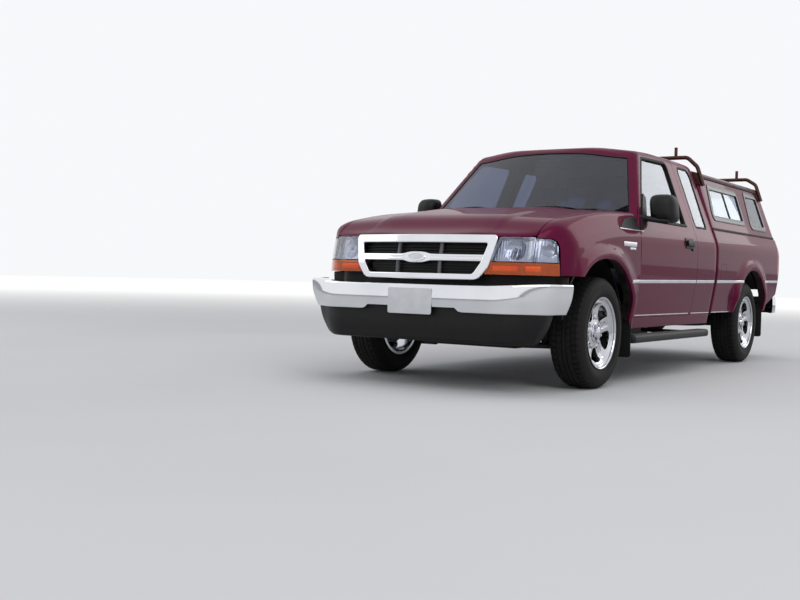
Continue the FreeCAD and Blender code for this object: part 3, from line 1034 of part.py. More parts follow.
def build_trim():
    rail_side = RAIL_X + RAIL_WIDTH / 2.0 + SEAT_GAP
    ends = (fy(FIREWALL_Y + 20.0), fy(CAB_REAR_Y - 92.0))
    shapes = [box((STEP_X - STEP_WIDTH, STEP_X), ends, (STEP_Z, STEP_Z + STEP_HEIGHT))]
    for y in (DOOR_FRONT_Y + 145.0, CAB_REAR_Y - 342.0):
        span = (fy(y - 20.0), fy(y + 20.0))
        shapes.append(box((rail_side, STEP_X - STEP_WIDTH + 10.0), span, (STEP_Z + 8.0, STEP_Z + 38.0)))
        shapes.append(box((rail_side, rail_side + 20.0), span, (STEP_Z + 8.0, RAIL_Z + 40.0)))
    bar = fuse(*shapes)
    keep("step_bars", bar, mirrored(bar))
    # Mud flaps: y from the front axle, bottom, top, outer edge
    flap_x = REAR_WHEEL_X - TYRE_WIDTH / 2.0
    flaps = []
    for y, low, high, outer in (
        (FIREWALL_Y - FLAP_THICK - SEAT_GAP, 170.0, BED_SKIRT_Z + 54.0, SILL_X - 2.0 * SKIN - 2.0),
        (WHEELBASE + ARCH_RADIUS - 8.0, 205.0, BED_SKIRT_Z + 64.0, SILL_X - 16.5),
    ):
        flap = box((flap_x, outer), (fy(y), fy(y + FLAP_THICK)), (low, high))
        flaps += [flap, mirrored(flap)]
    keep("mud_flaps", *flaps)

    seat_side = (SEAT_INNER_X, SEAT_OUTER_X)
    y, z = fy(DOOR_REAR_Y), FLOOR_Z
    cushion = box(seat_side, (y - 533.0, y - 63.0), (z + SEAT_GAP, z + 240.0))
    back = prism("yz", [
        (y - 73.0, z + 120.0, 20.0), (y + 47.0, z + 120.0, 20.0),
        (y + 187.0, z + 770.0, 40.0), (y + 87.0, z + 770.0, 40.0),
    ], *seat_side)
    head = prism("yz", [
        (y + 107.0, z + 760.0), (y + 187.0, z + 760.0),
        (y + 207.0, z + 920.0, 30.0), (y + 127.0, z + 920.0, 30.0),
    ], DRIVER_X - 120.0, DRIVER_X + 120.0)
    seat = fuse(cushion, back, head)
    keep("seats", seat, mirrored(seat))

    wall_y, y = fy(FIREWALL_Y + CAB_WALL + SEAT_GAP), fy(DOOR_FRONT_Y)
    dash = prism("yz", [
        (wall_y, z + 240.0), (wall_y, BELT_Z - 12.0), (y + 265.0, BELT_Z - 12.0, 60.0),
        (y + 305.0, BELT_Z - 132.0, 40.0), (y + 205.0, z + 240.0, 60.0),
    ], -DOOR_INNER_X + 99.0, DOOR_INNER_X - 99.0)
    axis = Vector(0, 260.0, 105.0).normalize()
    column_end = Vector(DRIVER_X, y + 405.0, BELT_Z - 107.0)
    column = rod(tuple(column_end - axis * 280.0), tuple(column_end), 32.0)
    keep("dashboard", fuse(dash.common(cab_solid(CAB_WALL + SEAT_GAP)), column))
    center = column_end + axis * (SEAT_GAP + 20.0)
    rim = Part.makeTorus(STEERING_RADIUS, 14.0, center, axis)
    hub = Part.makeCylinder(60.0, 40.0, center - axis * 20.0, axis)
    spokes = Part.makeBox(2.0 * STEERING_RADIUS, 24.0, 36.0, Vector(-STEERING_RADIUS, -12.0, -18.0))
    spokes.Placement = FreeCAD.Placement(center, FreeCAD.Rotation(Vector(0, 0, 1), axis))
    keep("steering_wheel", fuse(rim, hub, spokes))

    # Mirror: a rounded head on an arm from the door's front window corner.
    z = BELT_Z - 18.0
    inner, outer = HALF_WIDTH - 24.0, HALF_WIDTH + MIRROR_REACH
    top = z + 178.0
    face = prism("xz", [
        (inner, z, 30.0), (outer, z, 40.0), (outer, top, 60.0), (inner + 15.0, top, 60.0),
    ], y, y + FAR)
    plan = prism("xy", [
        (inner, y + 265.0), (inner, y + 165.0, 30.0), (inner + 60.0, y + 145.0, 60.0),
        (outer - 30.0, y + 155.0, 60.0), (outer, y + 200.0, 30.0), (outer, y + 245.0),
    ], 0.0, 2.0 * FAR)
    arm = box((side_x(z) - 10.0, inner + 40.0), (y + 130.0, y + 240.0), (z - 14.0, z + 24.0))
    pair("mirror", fuse(face.common(plan), arm).cut(cab_solid(-SEAT_GAP)))


for build in (
    build_cab, build_doors, build_front, build_wheels, build_chassis, build_bed, build_canopy, build_trim,
):
    build()

os.makedirs("parts", exist_ok=True)
for name, shape in PARTS.items():
    shape.exportStep("parts/%s.step" % name)
    print(name, len(shape.Solids), "solids", round(shape.Volume / 1e6, 1), "litres", shape.isValid())
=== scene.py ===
import math

import bmesh
import bpy
from mathutils import Matrix, Vector


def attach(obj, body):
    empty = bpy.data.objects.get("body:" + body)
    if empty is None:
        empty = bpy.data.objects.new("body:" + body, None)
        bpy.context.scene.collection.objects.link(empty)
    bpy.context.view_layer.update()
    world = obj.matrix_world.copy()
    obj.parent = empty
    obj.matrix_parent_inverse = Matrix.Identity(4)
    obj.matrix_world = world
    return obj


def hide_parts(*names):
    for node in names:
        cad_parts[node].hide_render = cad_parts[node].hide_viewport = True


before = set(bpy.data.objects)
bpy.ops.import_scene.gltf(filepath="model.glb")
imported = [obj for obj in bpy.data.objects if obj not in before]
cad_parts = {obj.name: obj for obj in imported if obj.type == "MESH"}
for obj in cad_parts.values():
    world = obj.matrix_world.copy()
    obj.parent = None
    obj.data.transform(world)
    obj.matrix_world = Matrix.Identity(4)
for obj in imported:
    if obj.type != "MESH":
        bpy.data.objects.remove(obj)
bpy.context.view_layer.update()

# Metres. Lengths along the truck are given from the front axle, as in the CAD source.
AXLE_Y = -1.684
WHEELBASE = 3.193
TYRE_R = 0.345
ARCH_R = 0.455
HALF_WIDTH = 0.874
SILL_Z = 0.355
BELT_Z = 1.092
NOSE_Y = -0.832
DOOR_FRONT_Y = 0.555
DOOR_REAR_Y = 1.713
CAB_REAR_Y = 2.192
BED_FRONT_Y = 2.216
BED_REAR_Y = 4.100
FRONT_WHEEL_X = 0.743
REAR_WHEEL_X = 0.728
CANOPY_Z = 1.0953
CANOPY_TALL = 0.517
TAU = 2.0 * math.pi
UP = Vector((0.0, 0.0, 1.0))
scene = bpy.context.scene


# Numbers and curves
def soft(t, r):
    """Rises from 0 to t round a corner of about 2.4 r."""
    return t if t > 30.0 * r else r * math.log1p(math.exp(max(t / r, -60.0)))


def smooth(low, high, t):
    """0 below low, 1 above high, with an easy curve between."""
    f = min(max((t - low) / (high - low), 0.0), 1.0)
    return f * f * (3.0 - 2.0 * f)


def larger(a, b, k):
    """The larger of two numbers, with a soft change where they differ by less than k."""
    near = max(k - abs(a - b), 0.0) / k
    return max(a, b) + near * near * k / 4.0


def fold(s, end):
    """The left half's s for an s of either half."""
    return s if s <= end else 2.0 * end - s


def turned(v, angle):
    c, s = math.cos(angle), math.sin(angle)
    return Vector((v.x * c - v.y * s, v.x * s + v.y * c))


def bend(a, b):
    """Signed angle from one direction to another."""
    return math.atan2(a.x * b.y - a.y * b.x, a.dot(b))


def rounded(a, p, b, radius):
    """Start, centre, end, first direction and turn of the arc that rounds the corner at p."""
    before, after = (p - a).normalized(), (b - p).normalized()
    turn = bend(before, after)
    reach = radius * math.tan(abs(turn) / 2.0)
    start = p - before * reach
    centre = start + turned(before, math.copysign(math.pi / 2.0, turn)) * radius
    return start, centre, p + after * reach, before, turn


def trace(corners):
    """Lines and arcs of an open line through (a, b, radius) corners."""
    spots = [Vector(c[:2]) for c in corners]
    runs, last = [], spots[0]
    for i in range(1, len(corners) - 1):
        start, centre, end, before, turn = rounded(*spots[i - 1:i + 2], corners[i][2])
        runs += [(last, start, before), (start, centre, before, turn)]
        last = end
    return runs + [(last, spots[-1], (spots[-1] - last).normalized())]


def along(runs, s):
    """Point and outward side of a traced line at s, which counts its lines and arcs."""
    i = min(max(int(s), 0), len(runs) - 1)
    f, run = s - i, runs[i]
    if len(run) == 3:
        return run[0].lerp(run[1], f), Vector((run[2].y, -run[2].x))
    start, centre, before, turn = run
    t = turned(before, turn * f)
    return centre + turned(start - centre, turn * f), Vector((t.y, -t.x))


def loop(corners, step=0.025):
    """Points round a closed outline of (u, v, radius) corners."""
    spots, count = [Vector(c[:2]) for c in corners], len(corners)
    starts, arcs, out = [], [], []
    for i, p in enumerate(spots):
        radius = corners[i][2] if len(corners[i]) > 2 else 0.0
        start, centre, _end, _before, turn = rounded(spots[i - 1], p, spots[(i + 1) % count], radius)
        n = max(3, math.ceil(abs(turn) / 0.2))
        starts.append(start)
        arcs.append([centre + turned(start - centre, turn * k / n) for k in range(n + 1)] if radius else [p])
    for i in range(count):
        out += arcs[i]
        last, end = out[-1], starts[(i + 1) % count]
        n = max(1, math.ceil((end - last).length / step))
        out += [last.lerp(end, k / n) for k in range(1, n)]
    clean = out[:1]
    for p in out[1:]:
        if (p - clean[-1]).length > 1e-5:
            clean.append(p)
    return clean[:-1] if (clean[0] - clean[-1]).length < 1e-5 else clean


def line(points, step=0.025):
    """Points along straight runs between the given ones, ends included."""
    out = [Vector(points[0])]
    for a, b in zip(points[:-1], points[1:]):
        a, b = Vector(a), Vector(b)
        n = max(1, math.ceil((b - a).length / step))
        out += [a.lerp(b, k / n) for k in range(1, n + 1)]
    return out


def spread(low, high, count):
    """Even numbers from low to high, both included."""
    return [low + (high - low) * k / count for k in range(count + 1)]


def steps(low, high, step):
    """Even numbers between low and high, neither included."""
    return spread(low, high, max(1, math.ceil(abs(high - low) / step)))[1:-1]


def arc_points(cy, cz, radius, start_deg, end_deg, count):
    """Points on a circle in side view."""
    angles = [math.radians(a) for a in spread(start_deg, end_deg, count)]
    return [Vector((cy + radius * math.cos(a), cz + radius * math.sin(a))) for a in angles]


def ellipse(wide, tall, centre, count):
    angles = [TAU * k / count for k in range(count)]
    return [Vector((wide * math.cos(a), centre + tall * math.sin(a))) for a in angles]


def cubic(stations, y):
    """Smooth curve through (y, value) stations, level beyond its ends."""
    y = min(max(y, stations[0][0]), stations[-1][0])
    k = max(i for i in range(len(stations) - 1) if stations[i][0] <= y)
    slopes = []
    for i in (k, k + 1):
        a, b = stations[max(i - 1, 0)], stations[min(i + 1, len(stations) - 1)]
        slopes.append((b[1] - a[1]) / (b[0] - a[0]))
    (y0, a), (y1, b) = stations[k], stations[k + 1]
    h = y1 - y0
    t = (y - y0) / h
    return (
        a * (1 + 2 * t) * (1 - t) ** 2 + slopes[0] * h * t * (1 - t) ** 2
        + b * t * t * (3 - 2 * t) + slopes[1] * h * t * t * (t - 1)
    )


def rect(u, v, r):
    """Corners of a rounded rectangle from (low, high) pairs."""
    return [(u[0], v[0], r), (u[1], v[0], r), (u[1], v[1], r), (u[0], v[1], r)]


def tapered(foot, head, low, high, r, r_high=None):
    """Corners of an upright form with a half width at its foot and one at its head."""
    top = r if r_high is None else r_high
    return [(-foot, low, r), (foot, low, r), (head, high, top), (-head, high, top)]


# Surfaces: each turns two numbers into a point
class Skin:
    """A body surface of (y, s): sections along the truck, closed off by rounded front and rear faces."""

    def __init__(self, section, front=None, rear=None, rounding=0.01, shape=None, varies=False):
        self.section, self.front, self.rear, self.shape = section, front, rear, shape
        self.rounding, self.varies = rounding, varies
        self.end = float(len(section(1.0)))

    def at(self, v, s):
        if s > self.end:
            p = self.at(v, 2.0 * self.end - s)
            return Vector((-p.x, p.y, p.z))
        y, r = v, self.rounding(s) if callable(self.rounding) else self.rounding
        face = None
        for _ in range(3 if self.varies else 1):
            p, n = along(self.section(y), s)
            for limit, sign in ((self.front, 1.0), (self.rear, -1.0)):
                if limit and sign * (v - limit(p.x, p.y)) < 12.0 * r:
                    edge = limit(p.x, p.y)
                    inward, out = soft(sign * (edge - v), r), sign * soft(sign * (v - edge), r)
                    face, y = limit, edge + out
        point = Vector((p.x, v, p.y))
        if face:
            q = p - n * inward
            point = Vector((q.x, face(q.x, q.y) + out, q.y))
        return self.shape(point) if self.shape else point

    def find(self, kind, a, b, guess):
        """The (y, s) whose point has the two coordinates that kind names, from a near guess."""
        found, miss = self.solve(kind, a, b, guess)
        if miss > 1e-3:
            tries = [self.solve(kind, a, b, (guess[0], 0.2 + 0.4 * k)) for k in range(int(self.end / 0.4))]
            found, miss = min(tries + [(found, miss)], key=lambda pair: pair[1])
        return found

    def solve(self, kind, a, b, guess):
        """Newton steps towards two coordinates: the (y, s) reached and how far it misses."""
        i, j = ("xyz".index(c) for c in kind)
        v, s = guess
        for _ in range(12):
            p = self.at(v, s)
            e, f = a - p[i], b - p[j]
            if abs(e) + abs(f) < 2e-5:
                break
            dv, ds = self.at(v + 1e-4, s), self.at(v, s + 1e-3)
            m = ((dv[i] - p[i]) / 1e-4, (ds[i] - p[i]) / 1e-3, (dv[j] - p[j]) / 1e-4, (ds[j] - p[j]) / 1e-3)
            det = m[0] * m[3] - m[1] * m[2]
            if abs(det) < 1e-9:
                break
            v += min(max((e * m[3] - f * m[1]) / det, -0.2), 0.2)
            s = min(max(s + min(max((f * m[0] - e * m[2]) / det, -0.7), 0.7), 0.0), 2.0 * self.end)
        p = self.at(v, s)
        return Vector((v, s)), abs(a - p[i]) + abs(b - p[j])

    def trail(self, kind, points, guess):
        """Many points of one kind, each found from the one before."""
        out = [guess]
        for a, b in points:
            out.append(self.find(kind, a, b, out[-1]))
        return out[1:]

    def outline(self, corners, guess_s=4.0, step=0.03):
        """A closed outline given in side view, as (y, s) pairs."""
        ring = loop(corners, step)
        return self.trail("yz", ring, (ring[0].x, guess_s))

    def mirrored(self, pairs):
        """The other half's pairs."""
        return [Vector((p[0], 2.0 * self.end - p[1])) for p in pairs]

    def rows(self, low, high, step=0.03):
        """Values of s for a grid, from low to high."""
        runs, out = self.section(1.0), []
        for i, run in enumerate(runs + runs[::-1]):
            if len(run) == 3:
                n = max(1, math.ceil((run[1] - run[0]).length / step))
            else:
                n = max(1, math.ceil(abs(run[3]) * (run[0] - run[1]).length / step),
                        math.ceil(abs(run[3]) / 0.12))
            out += [i + k / n for k in range(n)]
        return [s for s in out if low < s < high]


def windshield_y(x, z):
    """The leaning cylinder that the windshield and the pillars' faces lie on."""
    return 0.428 + 1.004 * (z - BELT_Z) + 1.417 * (2.6 - math.sqrt(2.6 ** 2 - min(x * x, 1.0)))


def cab_section(y):
    drop = 0.030 * (1.0 - smooth(0.90, 1.40, y)) + 0.008 * smooth(1.9, 2.2, y)
    return trace([
        (0.812, SILL_Z), (HALF_WIDTH, 0.740, 1.2), (0.872, 0.975, 0.3), (0.630, 1.604 - 0.5 * drop, 0.075),
        (0.330, 1.655 - drop, 1.3), (0.0, 1.655 - drop),
    ])


# The clip's sections: how far its top is above the belt, its side inside the body's, and its crown
CLIP_RISE = [(-0.860, -0.230), (-0.660, -0.168), (-0.530, -0.096), (-0.380, -0.060), (0.100, 0.010),
             (0.555, 0.034)]
CLIP_INSET = [(-0.860, 0.094), (-0.380, 0.074), (0.100, 0.068), (0.555, 0.068)]
CLIP_CROWN = [(-0.860, 0.030), (-0.380, 0.026), (0.100, 0.024), (0.555, 0.024)]


def clip_section(y):
    top = BELT_Z + cubic(CLIP_RISE, y)
    crown = top + cubic(CLIP_CROWN, y)
    corner = 0.055 + 0.057 * (1.0 - smooth(-0.58, -0.16, y))
    return trace([
        (0.812, SILL_Z), (HALF_WIDTH, (SILL_Z + top) / 2.0 - 0.06, 0.5), (0.870, top - 0.15, 0.2),
        (HALF_WIDTH - cubic(CLIP_INSET, y), top, corner), (0.330, crown, 1.3), (0.0, crown),
    ])


def nose_y(x, z):
    """The face that the grille and the lamps lie on."""
    x = abs(x)
    plan = NOSE_Y + 0.19 * (math.sqrt(x * x + 0.0144) - 0.12) + 1.015 * soft(x - 0.70, 0.03)
    return plan + 0.22 * soft(z - 0.74, 0.02)


def nose(x, z):
    return Vector((x, nose_y(x, z), z))


def bulge(axle_y, front_stretch=1.0):
    """Makes the soft flare round a wheel opening."""
    def shape(p):
        ahead = p.y - axle_y
        d = math.hypot(ahead * (front_stretch if ahead < 0.0 else 1.0), p.z - TYRE_R)
        flare = 0.896 - 0.30 * soft(d - 0.492, 0.010) - 0.30 * soft(0.474 - d, 0.004)
        flare -= 1.5 * soft(p.z - 0.90, 0.02) + 1.2 * soft(-ahead - 0.46, 0.012)
        x = larger(abs(p.x), flare - 0.05 * (1.0 - smooth(0.36, 0.60, p.z)), 0.012)
        return Vector((math.copysign(x, p.x), p.y, p.z))
    return shape


def hood_shape(p):
    """The hood's raised middle."""
    raised = 0.009 * (1.0 - smooth(0.41, 0.47, abs(p.x)))
    raised = raised * smooth(-0.80, -0.45, p.y) * (1.0 - smooth(0.25, 0.44, p.y))
    return Vector((p.x, p.y, p.z + raised))


def lean(z, depth):
    """How far the canopy's end walls lean in at a height."""
    return depth * (z - CANOPY_Z) / CANOPY_TALL


BED_RUNS = trace([
    (0.824, 0.436), (HALF_WIDTH, 0.740, 1.2), (0.872, 0.975, 0.3), (0.8265, 1.095, 0.012),
    (0.750, 1.0952, 0.004),
    (0.750, 1.080),
])
CANOPY_RUNS = trace([(0.8205, 1.0975), (0.655, 1.5653, 0.06), (0.305, 1.6123, 0.9), (0.0, 1.6123)])

cab = Skin(cab_section, windshield_y, lambda x, z: CAB_REAR_Y - 0.001, 0.011, varies=True)
clip = Skin(clip_section, nose_y, None, lambda s: 0.024 - 0.011 * smooth(4.2, 5.4, s), bulge(0.0, 0.82),
            varies=True)
hood = Skin(clip_section, nose_y, None, 0.012, hood_shape, varies=True)
bed = Skin(lambda _y: BED_RUNS, lambda x, z: BED_FRONT_Y, lambda x, z: BED_REAR_Y, 0.005, bulge(WHEELBASE))
canopy = Skin(
    lambda _y: CANOPY_RUNS, lambda x, z: BED_FRONT_Y + 0.004 + lean(z, 0.024), lambda x,
    z: 4.098 - lean(z, 0.040),
    0.012,
)
END = cab.end


# Meshes
class Shape:
    """Points and faces of one piece; a face may carry its own normals and a material number."""

    def __init__(self):
        self.verts, self.faces, self.normals, self.marks = [], [], [], []

    def add(self, points, faces, normals=None, marks=None):
        base = len(self.verts)
        self.verts += [Vector(p) for p in points]
        self.faces += [[base + k for k in face] for face in faces]
        self.normals += normals or [None] * len(faces)
        self.marks += marks or [0] * len(faces)
        return self

    def join(self, *others):
        for other in others:
            self.add(other.verts, other.faces, other.normals, other.marks)
        return self

    def flipped(self):
        """The shape's mirror image, on the other side."""
        normals = [None if n is None else [Vector((-m.x, m.y,
                                                   m.z)) for m in reversed(n)] for n in self.normals]
        verts = [Vector((-p.x, p.y, p.z)) for p in self.verts]
        return Shape().add(verts, [f[::-1] for f in self.faces], normals, list(self.marks))

    def mirror(self):
        """Adds the shape's other side."""
        return self.join(self.flipped())

    def shifted(self, y):
        self.verts = [p + Vector((0.0, y, 0.0)) for p in self.verts]
        return self

    def piece(self, name, materials, slot, body="root", angle=35.0, replaces=()):
        mesh = bpy.data.meshes.new(name)
        mesh.from_pydata([(p.x, p.y + AXLE_Y, p.z) for p in self.verts], [], self.faces)
        materials = materials if isinstance(materials, list) else [materials]
        for m in materials:
            mesh.materials.append(m)
        mesh.polygons.foreach_set("material_index", [min(m, len(materials) - 1) for m in self.marks])
        mesh.polygons.foreach_set("use_smooth", [True] * len(self.faces))
        mesh.set_sharp_from_angle(angle=math.radians(angle))
        bm = bmesh.new()
        bm.from_mesh(mesh)
        bm.faces.ensure_lookup_table()
        bmesh.ops.recalc_face_normals(bm, faces=[f for f in bm.faces if self.normals[f.index] is None])
        bm.to_mesh(mesh)
        bm.free()
        if any(n is not None for n in self.normals):
            corners = []
            for n, f in zip(self.normals, self.faces):
                corners += [tuple(m) for m in n] if n is not None else [(0.0, 0.0, 0.0)] * len(f)
            mesh.normals_split_custom_set(corners)
        mesh.update()
        ob = bpy.data.objects.new(name, mesh)
        scene.collection.objects.link(ob)
        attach(ob, body)
        if replaces:
            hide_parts(*replaces)
        return ob


SIDES = (("left", lambda shape: shape), ("right", Shape.flipped))


def wound(rows, size, closed=False, spans=None):
    """Faces between rows of size points; closed joins the last row to the first."""
    faces = []
    for i in range(rows if closed else rows - 1):
        j = (i + 1) % rows
        for k in range(spans or size):
            m = (k + 1) % size
            faces.append([i * size + k, i * size + m, j * size + m, j * size + k])
    return faces


def stacked(rows, size):
    """Faces between rows of size points, with both ends closed."""
    return wound(rows, size) + [list(range(size))[::-1], [(rows - 1) * size + k for k in range(size)]]


def area(ring):
    return sum(ring[i - 1][0] * ring[i][1] - ring[i][0] * ring[i - 1][1] for i in range(len(ring)))


def trimmed(outline, holes, u_lines, v_lines):
    """Flat mesh of an outline with holes, cut along grid lines: its (u, v) points and faces."""
    bm = bmesh.new()
    edges = []
    for ring in [outline] + list(holes):
        vs = [bm.verts.new((p[0], p[1], 0.0)) for p in ring]
        edges += [bm.edges.new((vs[i - 1], vs[i])) for i in range(len(vs))]
    bmesh.ops.triangle_fill(bm, use_beauty=False, use_dissolve=False, edges=edges, normal=UP)
    for k, lines in ((0, u_lines), (1, v_lines)):
        for value in lines:
            co, no = [0.0, 0.0, 0.0], [0.0, 0.0, 0.0]
            co[k], no[k] = value, 1.0
            geom = bm.verts[:] + bm.edges[:] + bm.faces[:]
            bmesh.ops.bisect_plane(bm, geom=geom, dist=1e-6, plane_co=co, plane_no=no)
    loose = []
    for e in bm.edges:
        a, b = e.verts[0].co, e.verts[1].co
        on_u = abs(a.x - b.x) < 2e-6 and any(abs(a.x - t) < 5e-6 for t in u_lines)
        on_v = abs(a.y - b.y) < 2e-6 and any(abs(a.y - t) < 5e-6 for t in v_lines)
        if len(e.link_faces) == 2 and not on_u and not on_v:
            loose.append(e)
    bmesh.ops.dissolve_edges(bm, edges=loose, use_verts=False, use_face_split=False)
    bmesh.ops.remove_doubles(bm, verts=bm.verts[:], dist=2e-5)
    bm.normal_update()
    bm.verts.index_update()
    points = [(v.co.x, v.co.y) for v in bm.verts]
    faces = [[v.index for v in f.verts][::1 if f.normal.z > 0.0 else -1] for f in bm.faces]
    bm.free()
    return points, faces


def frame_at(at, u, v, dv=1e-3):
    """Point and outward normal of a surface."""
    n = (at(u + 1e-4, v) - at(u - 1e-4, v)).cross(at(u, v + dv) - at(u, v - dv))
    return at(u, v), (n.normalized() if n.length > 1e-14 else UP)


def sheet(at, outline, holes=(), u_lines=(), v_lines=(), thick=0.012, edge=0.0015, lift=0.0, dv=1e-3):
    """A closed sheet on a surface, with a rounded rim: mark 0 outside and rim, 1 inside."""
    if area(outline) < 0.0:
        outline = outline[::-1]
    points, faces = trimmed(outline, holes, list(u_lines), list(v_lines))
    spots = [frame_at(at, u, v, dv) for u, v in points]
    where, up = [p + n * lift for p, n in spots], [n for _, n in spots]
    directed = {(f[i - 1], f[i]): True for f in faces for i in range(len(f))}
    rim = [e for e in directed if e[::-1] not in directed]
    out = {}
    for a, b in rim:
        t = where[b] - where[a]
        if t.length >= 1e-9:
            t.normalize()
            for k in (a, b):
                out[k] = out.get(k, Vector()) + t.cross(up[k])
    border = sorted({k for e in rim for k in e})
    for k in border:
        o = out.get(k, UP)
        out[k] = o.normalized() if o.length > 1e-9 else UP
    verts, levels, turns = list(where), [{k: k for k in border}], (0.0, math.pi / 4.0, math.pi / 2.0)
    for theta in turns[1:]:
        levels.append({k: len(verts) + i for i, k in enumerate(border)})
        sunk = edge * (1.0 - math.cos(theta))
        verts += [where[k] + out[k] * (edge * math.sin(theta)) - up[k] * sunk for k in border]
    base = len(verts)
    verts += [p - up[k] * thick + (out[k] * edge if k in out else Vector()) for k, p in enumerate(where)]
    sides, bent = [], []
    for a, b in rim:
        for i in (0, 1):
            low, high = levels[i], levels[i + 1]
            sides.append([low[b], low[a], high[a], high[b]])
            bent.append([
                (out[k] * math.sin(turns[j]) + up[k] * math.cos(turns[j])).normalized()
                for k, j in ((b, i), (a, i), (a, i + 1), (b, i + 1))
            ])
        sides.append([levels[2][b], levels[2][a], base + a, base + b])
        bent.append([out[b], out[a], out[a], out[b]])
    inner = [[base + k for k in reversed(f)] for f in faces]
    inward = [[-up[k] for k in reversed(f)] for f in faces]
    marks = [0] * (len(faces) + len(sides)) + [1] * len(faces)
    return Shape().add(verts, faces + sides + inner, [[up[k] for k in f] for f in faces] + bent + inward,
                       marks)


def ribbon(points, normals, profile, closed=True):
    """A bar of one cross section, (across, height) points, along a line on a surface."""
    count, size, verts = len(points), len(profile), []
    for i, p in enumerate(points):
        a = points[i - 1] if closed or i > 0 else p
        b = points[(i + 1) % count] if closed or i < count - 1 else p
        across = (b - a).cross(normals[i]).normalized()
        verts += [p + across * o + normals[i] * h for o, h in profile]
    return Shape().add(verts, wound(count, size, True) if closed else stacked(count, size))


def bar_profile(half, low, high, r=0.0015):
    """Rounded rectangle, given counter-clockwise seen along the ribbon."""
    out, x = [], half - r
    for cx, cy, start in ((x, high - r, 0), (-x, high - r, 90), (-x, low + r, 180), (x, low + r, 270)):
        for a in (math.radians(start + 45 * k) for k in range(3)):
            out.append((cx + r * math.cos(a), cy + r * math.sin(a)))
    return out[::-1]


def bar(at, pairs, section, lift=0.0, closed=False):
    """A bar along pairs of a surface: its section is a list of points, or what bar_profile takes."""
    spots = [frame_at(at, u, v) for u, v in pairs]
    profile = section if isinstance(section, list) else bar_profile(*section)
    return ribbon([p + n * lift for p, n in spots], [n for _, n in spots], profile, closed)


def seal(at, pairs, section, lift=0.0):
    """A bar right round an outline."""
    return bar(at, pairs, section, lift, True)


def lathe(profile, centre, count=64, axis=(1.0, 0.0, 0.0), closed=True):
    """Solid turned about an axis from (along, radius) points."""
    axis = Vector(axis).normalized()
    side = UP if abs(axis.x) > 0.99 else axis.orthogonal().normalized()
    other, size, verts = axis.cross(side), len(profile), []
    for a in (TAU * i / count for i in range(count)):
        ray = side * math.cos(a) + other * math.sin(a)
        verts += [Vector(centre) + axis * x + ray * r for x, r in profile]
    if closed:
        return Shape().add(verts, wound(count, size, True))
    caps = [[i * size for i in range(count)], [i * size + size - 1 for i in range(count)][::-1]]
    return Shape().add(verts, wound(count, size, True, size - 1) + caps)


def tube(points, radius, count=14):
    """Round bar along a line of points."""
    points = [Vector(p) for p in points]
    verts, side = [], None
    for i, p in enumerate(points):
        t = (points[min(i + 1, len(points) - 1)] - points[max(i - 1, 0)]).normalized()
        side = t.orthogonal().normalized() if side is None else (side - t * side.dot(t)).normalized()
        other, r = t.cross(side), radius(i) if callable(radius) else radius
        for a in (TAU * k / count for k in range(count)):
            verts.append(p + side * (r * math.cos(a)) + other * (r * math.sin(a)))
    return Shape().add(verts, stacked(len(points), count))


def slab(corners, low, high, axis="x", edge=0.004, step=0.05):
    """Prism of an outline with rounded rims, from low to high along an axis."""
    ring = loop(corners, step)
    if area(ring) < 0.0:
        ring = ring[::-1]
    count, outs = len(ring), []
    for i, p in enumerate(ring):
        d1, d2 = (p - ring[i - 1]).normalized(), (ring[(i + 1) % count] - p).normalized()
        n = Vector((d1.y + d2.y, -d1.x - d2.x)).normalized()
        outs.append(n / max(0.35, math.sqrt(max(0.0, (1.0 + d1.dot(d2)) / 2.0))))
    rim = ((0.0, 1.0), (0.134, 0.5), (0.5, 0.134), (1.0, 0.0))
    rows = [(low + edge * t, edge * inset) for t, inset in rim]
    rows += [(high - edge * t, edge * inset) for t, inset in rim[::-1]]
    verts = []
    for w, inset in rows:
        for p, n in zip(ring, outs):
            spot = list(p - n * inset)
            spot.insert("xyz".index(axis), w)
            verts.append(Vector(spot))
    faces = stacked(len(rows), count)
    return Shape().add(verts, [f[::-1] for f in faces] if axis == "y" else faces)


def brick(x, y, z, edge=0.004):
    """Rounded box from (low, high) pairs."""
    return slab(rect(y, z, edge), x[0], x[1], "x", edge)


# Materials
def rgb(r, g, b):
    """Linear colour from 0 to 255 screen values."""
    return tuple((c / 255.0) ** 2.2 for c in (r, g, b)) + (1.0,)


class Tree:
    """A node tree whose nodes and wires are added in one line each."""

    def __init__(self, owner):
        self.nodes, self.links = owner.node_tree.nodes, owner.node_tree.links

    def new(self, kind, values=(), **settings):
        node = self.nodes.new("ShaderNode" + kind)
        for key, value in settings.items():
            setattr(node, key, value)
        for key, value in dict(values).items():
            node.inputs[key].default_value = value
        return node

    def wire(self, *wires):
        for source, out, target, into in wires:
            self.links.new(source.outputs[out], target.inputs[into])


def ramp_between(tree, first, second):
    ramp = tree.new("ValToRGB")
    ramp.color_ramp.elements[0].color, ramp.color_ramp.elements[1].color = first, second
    return ramp


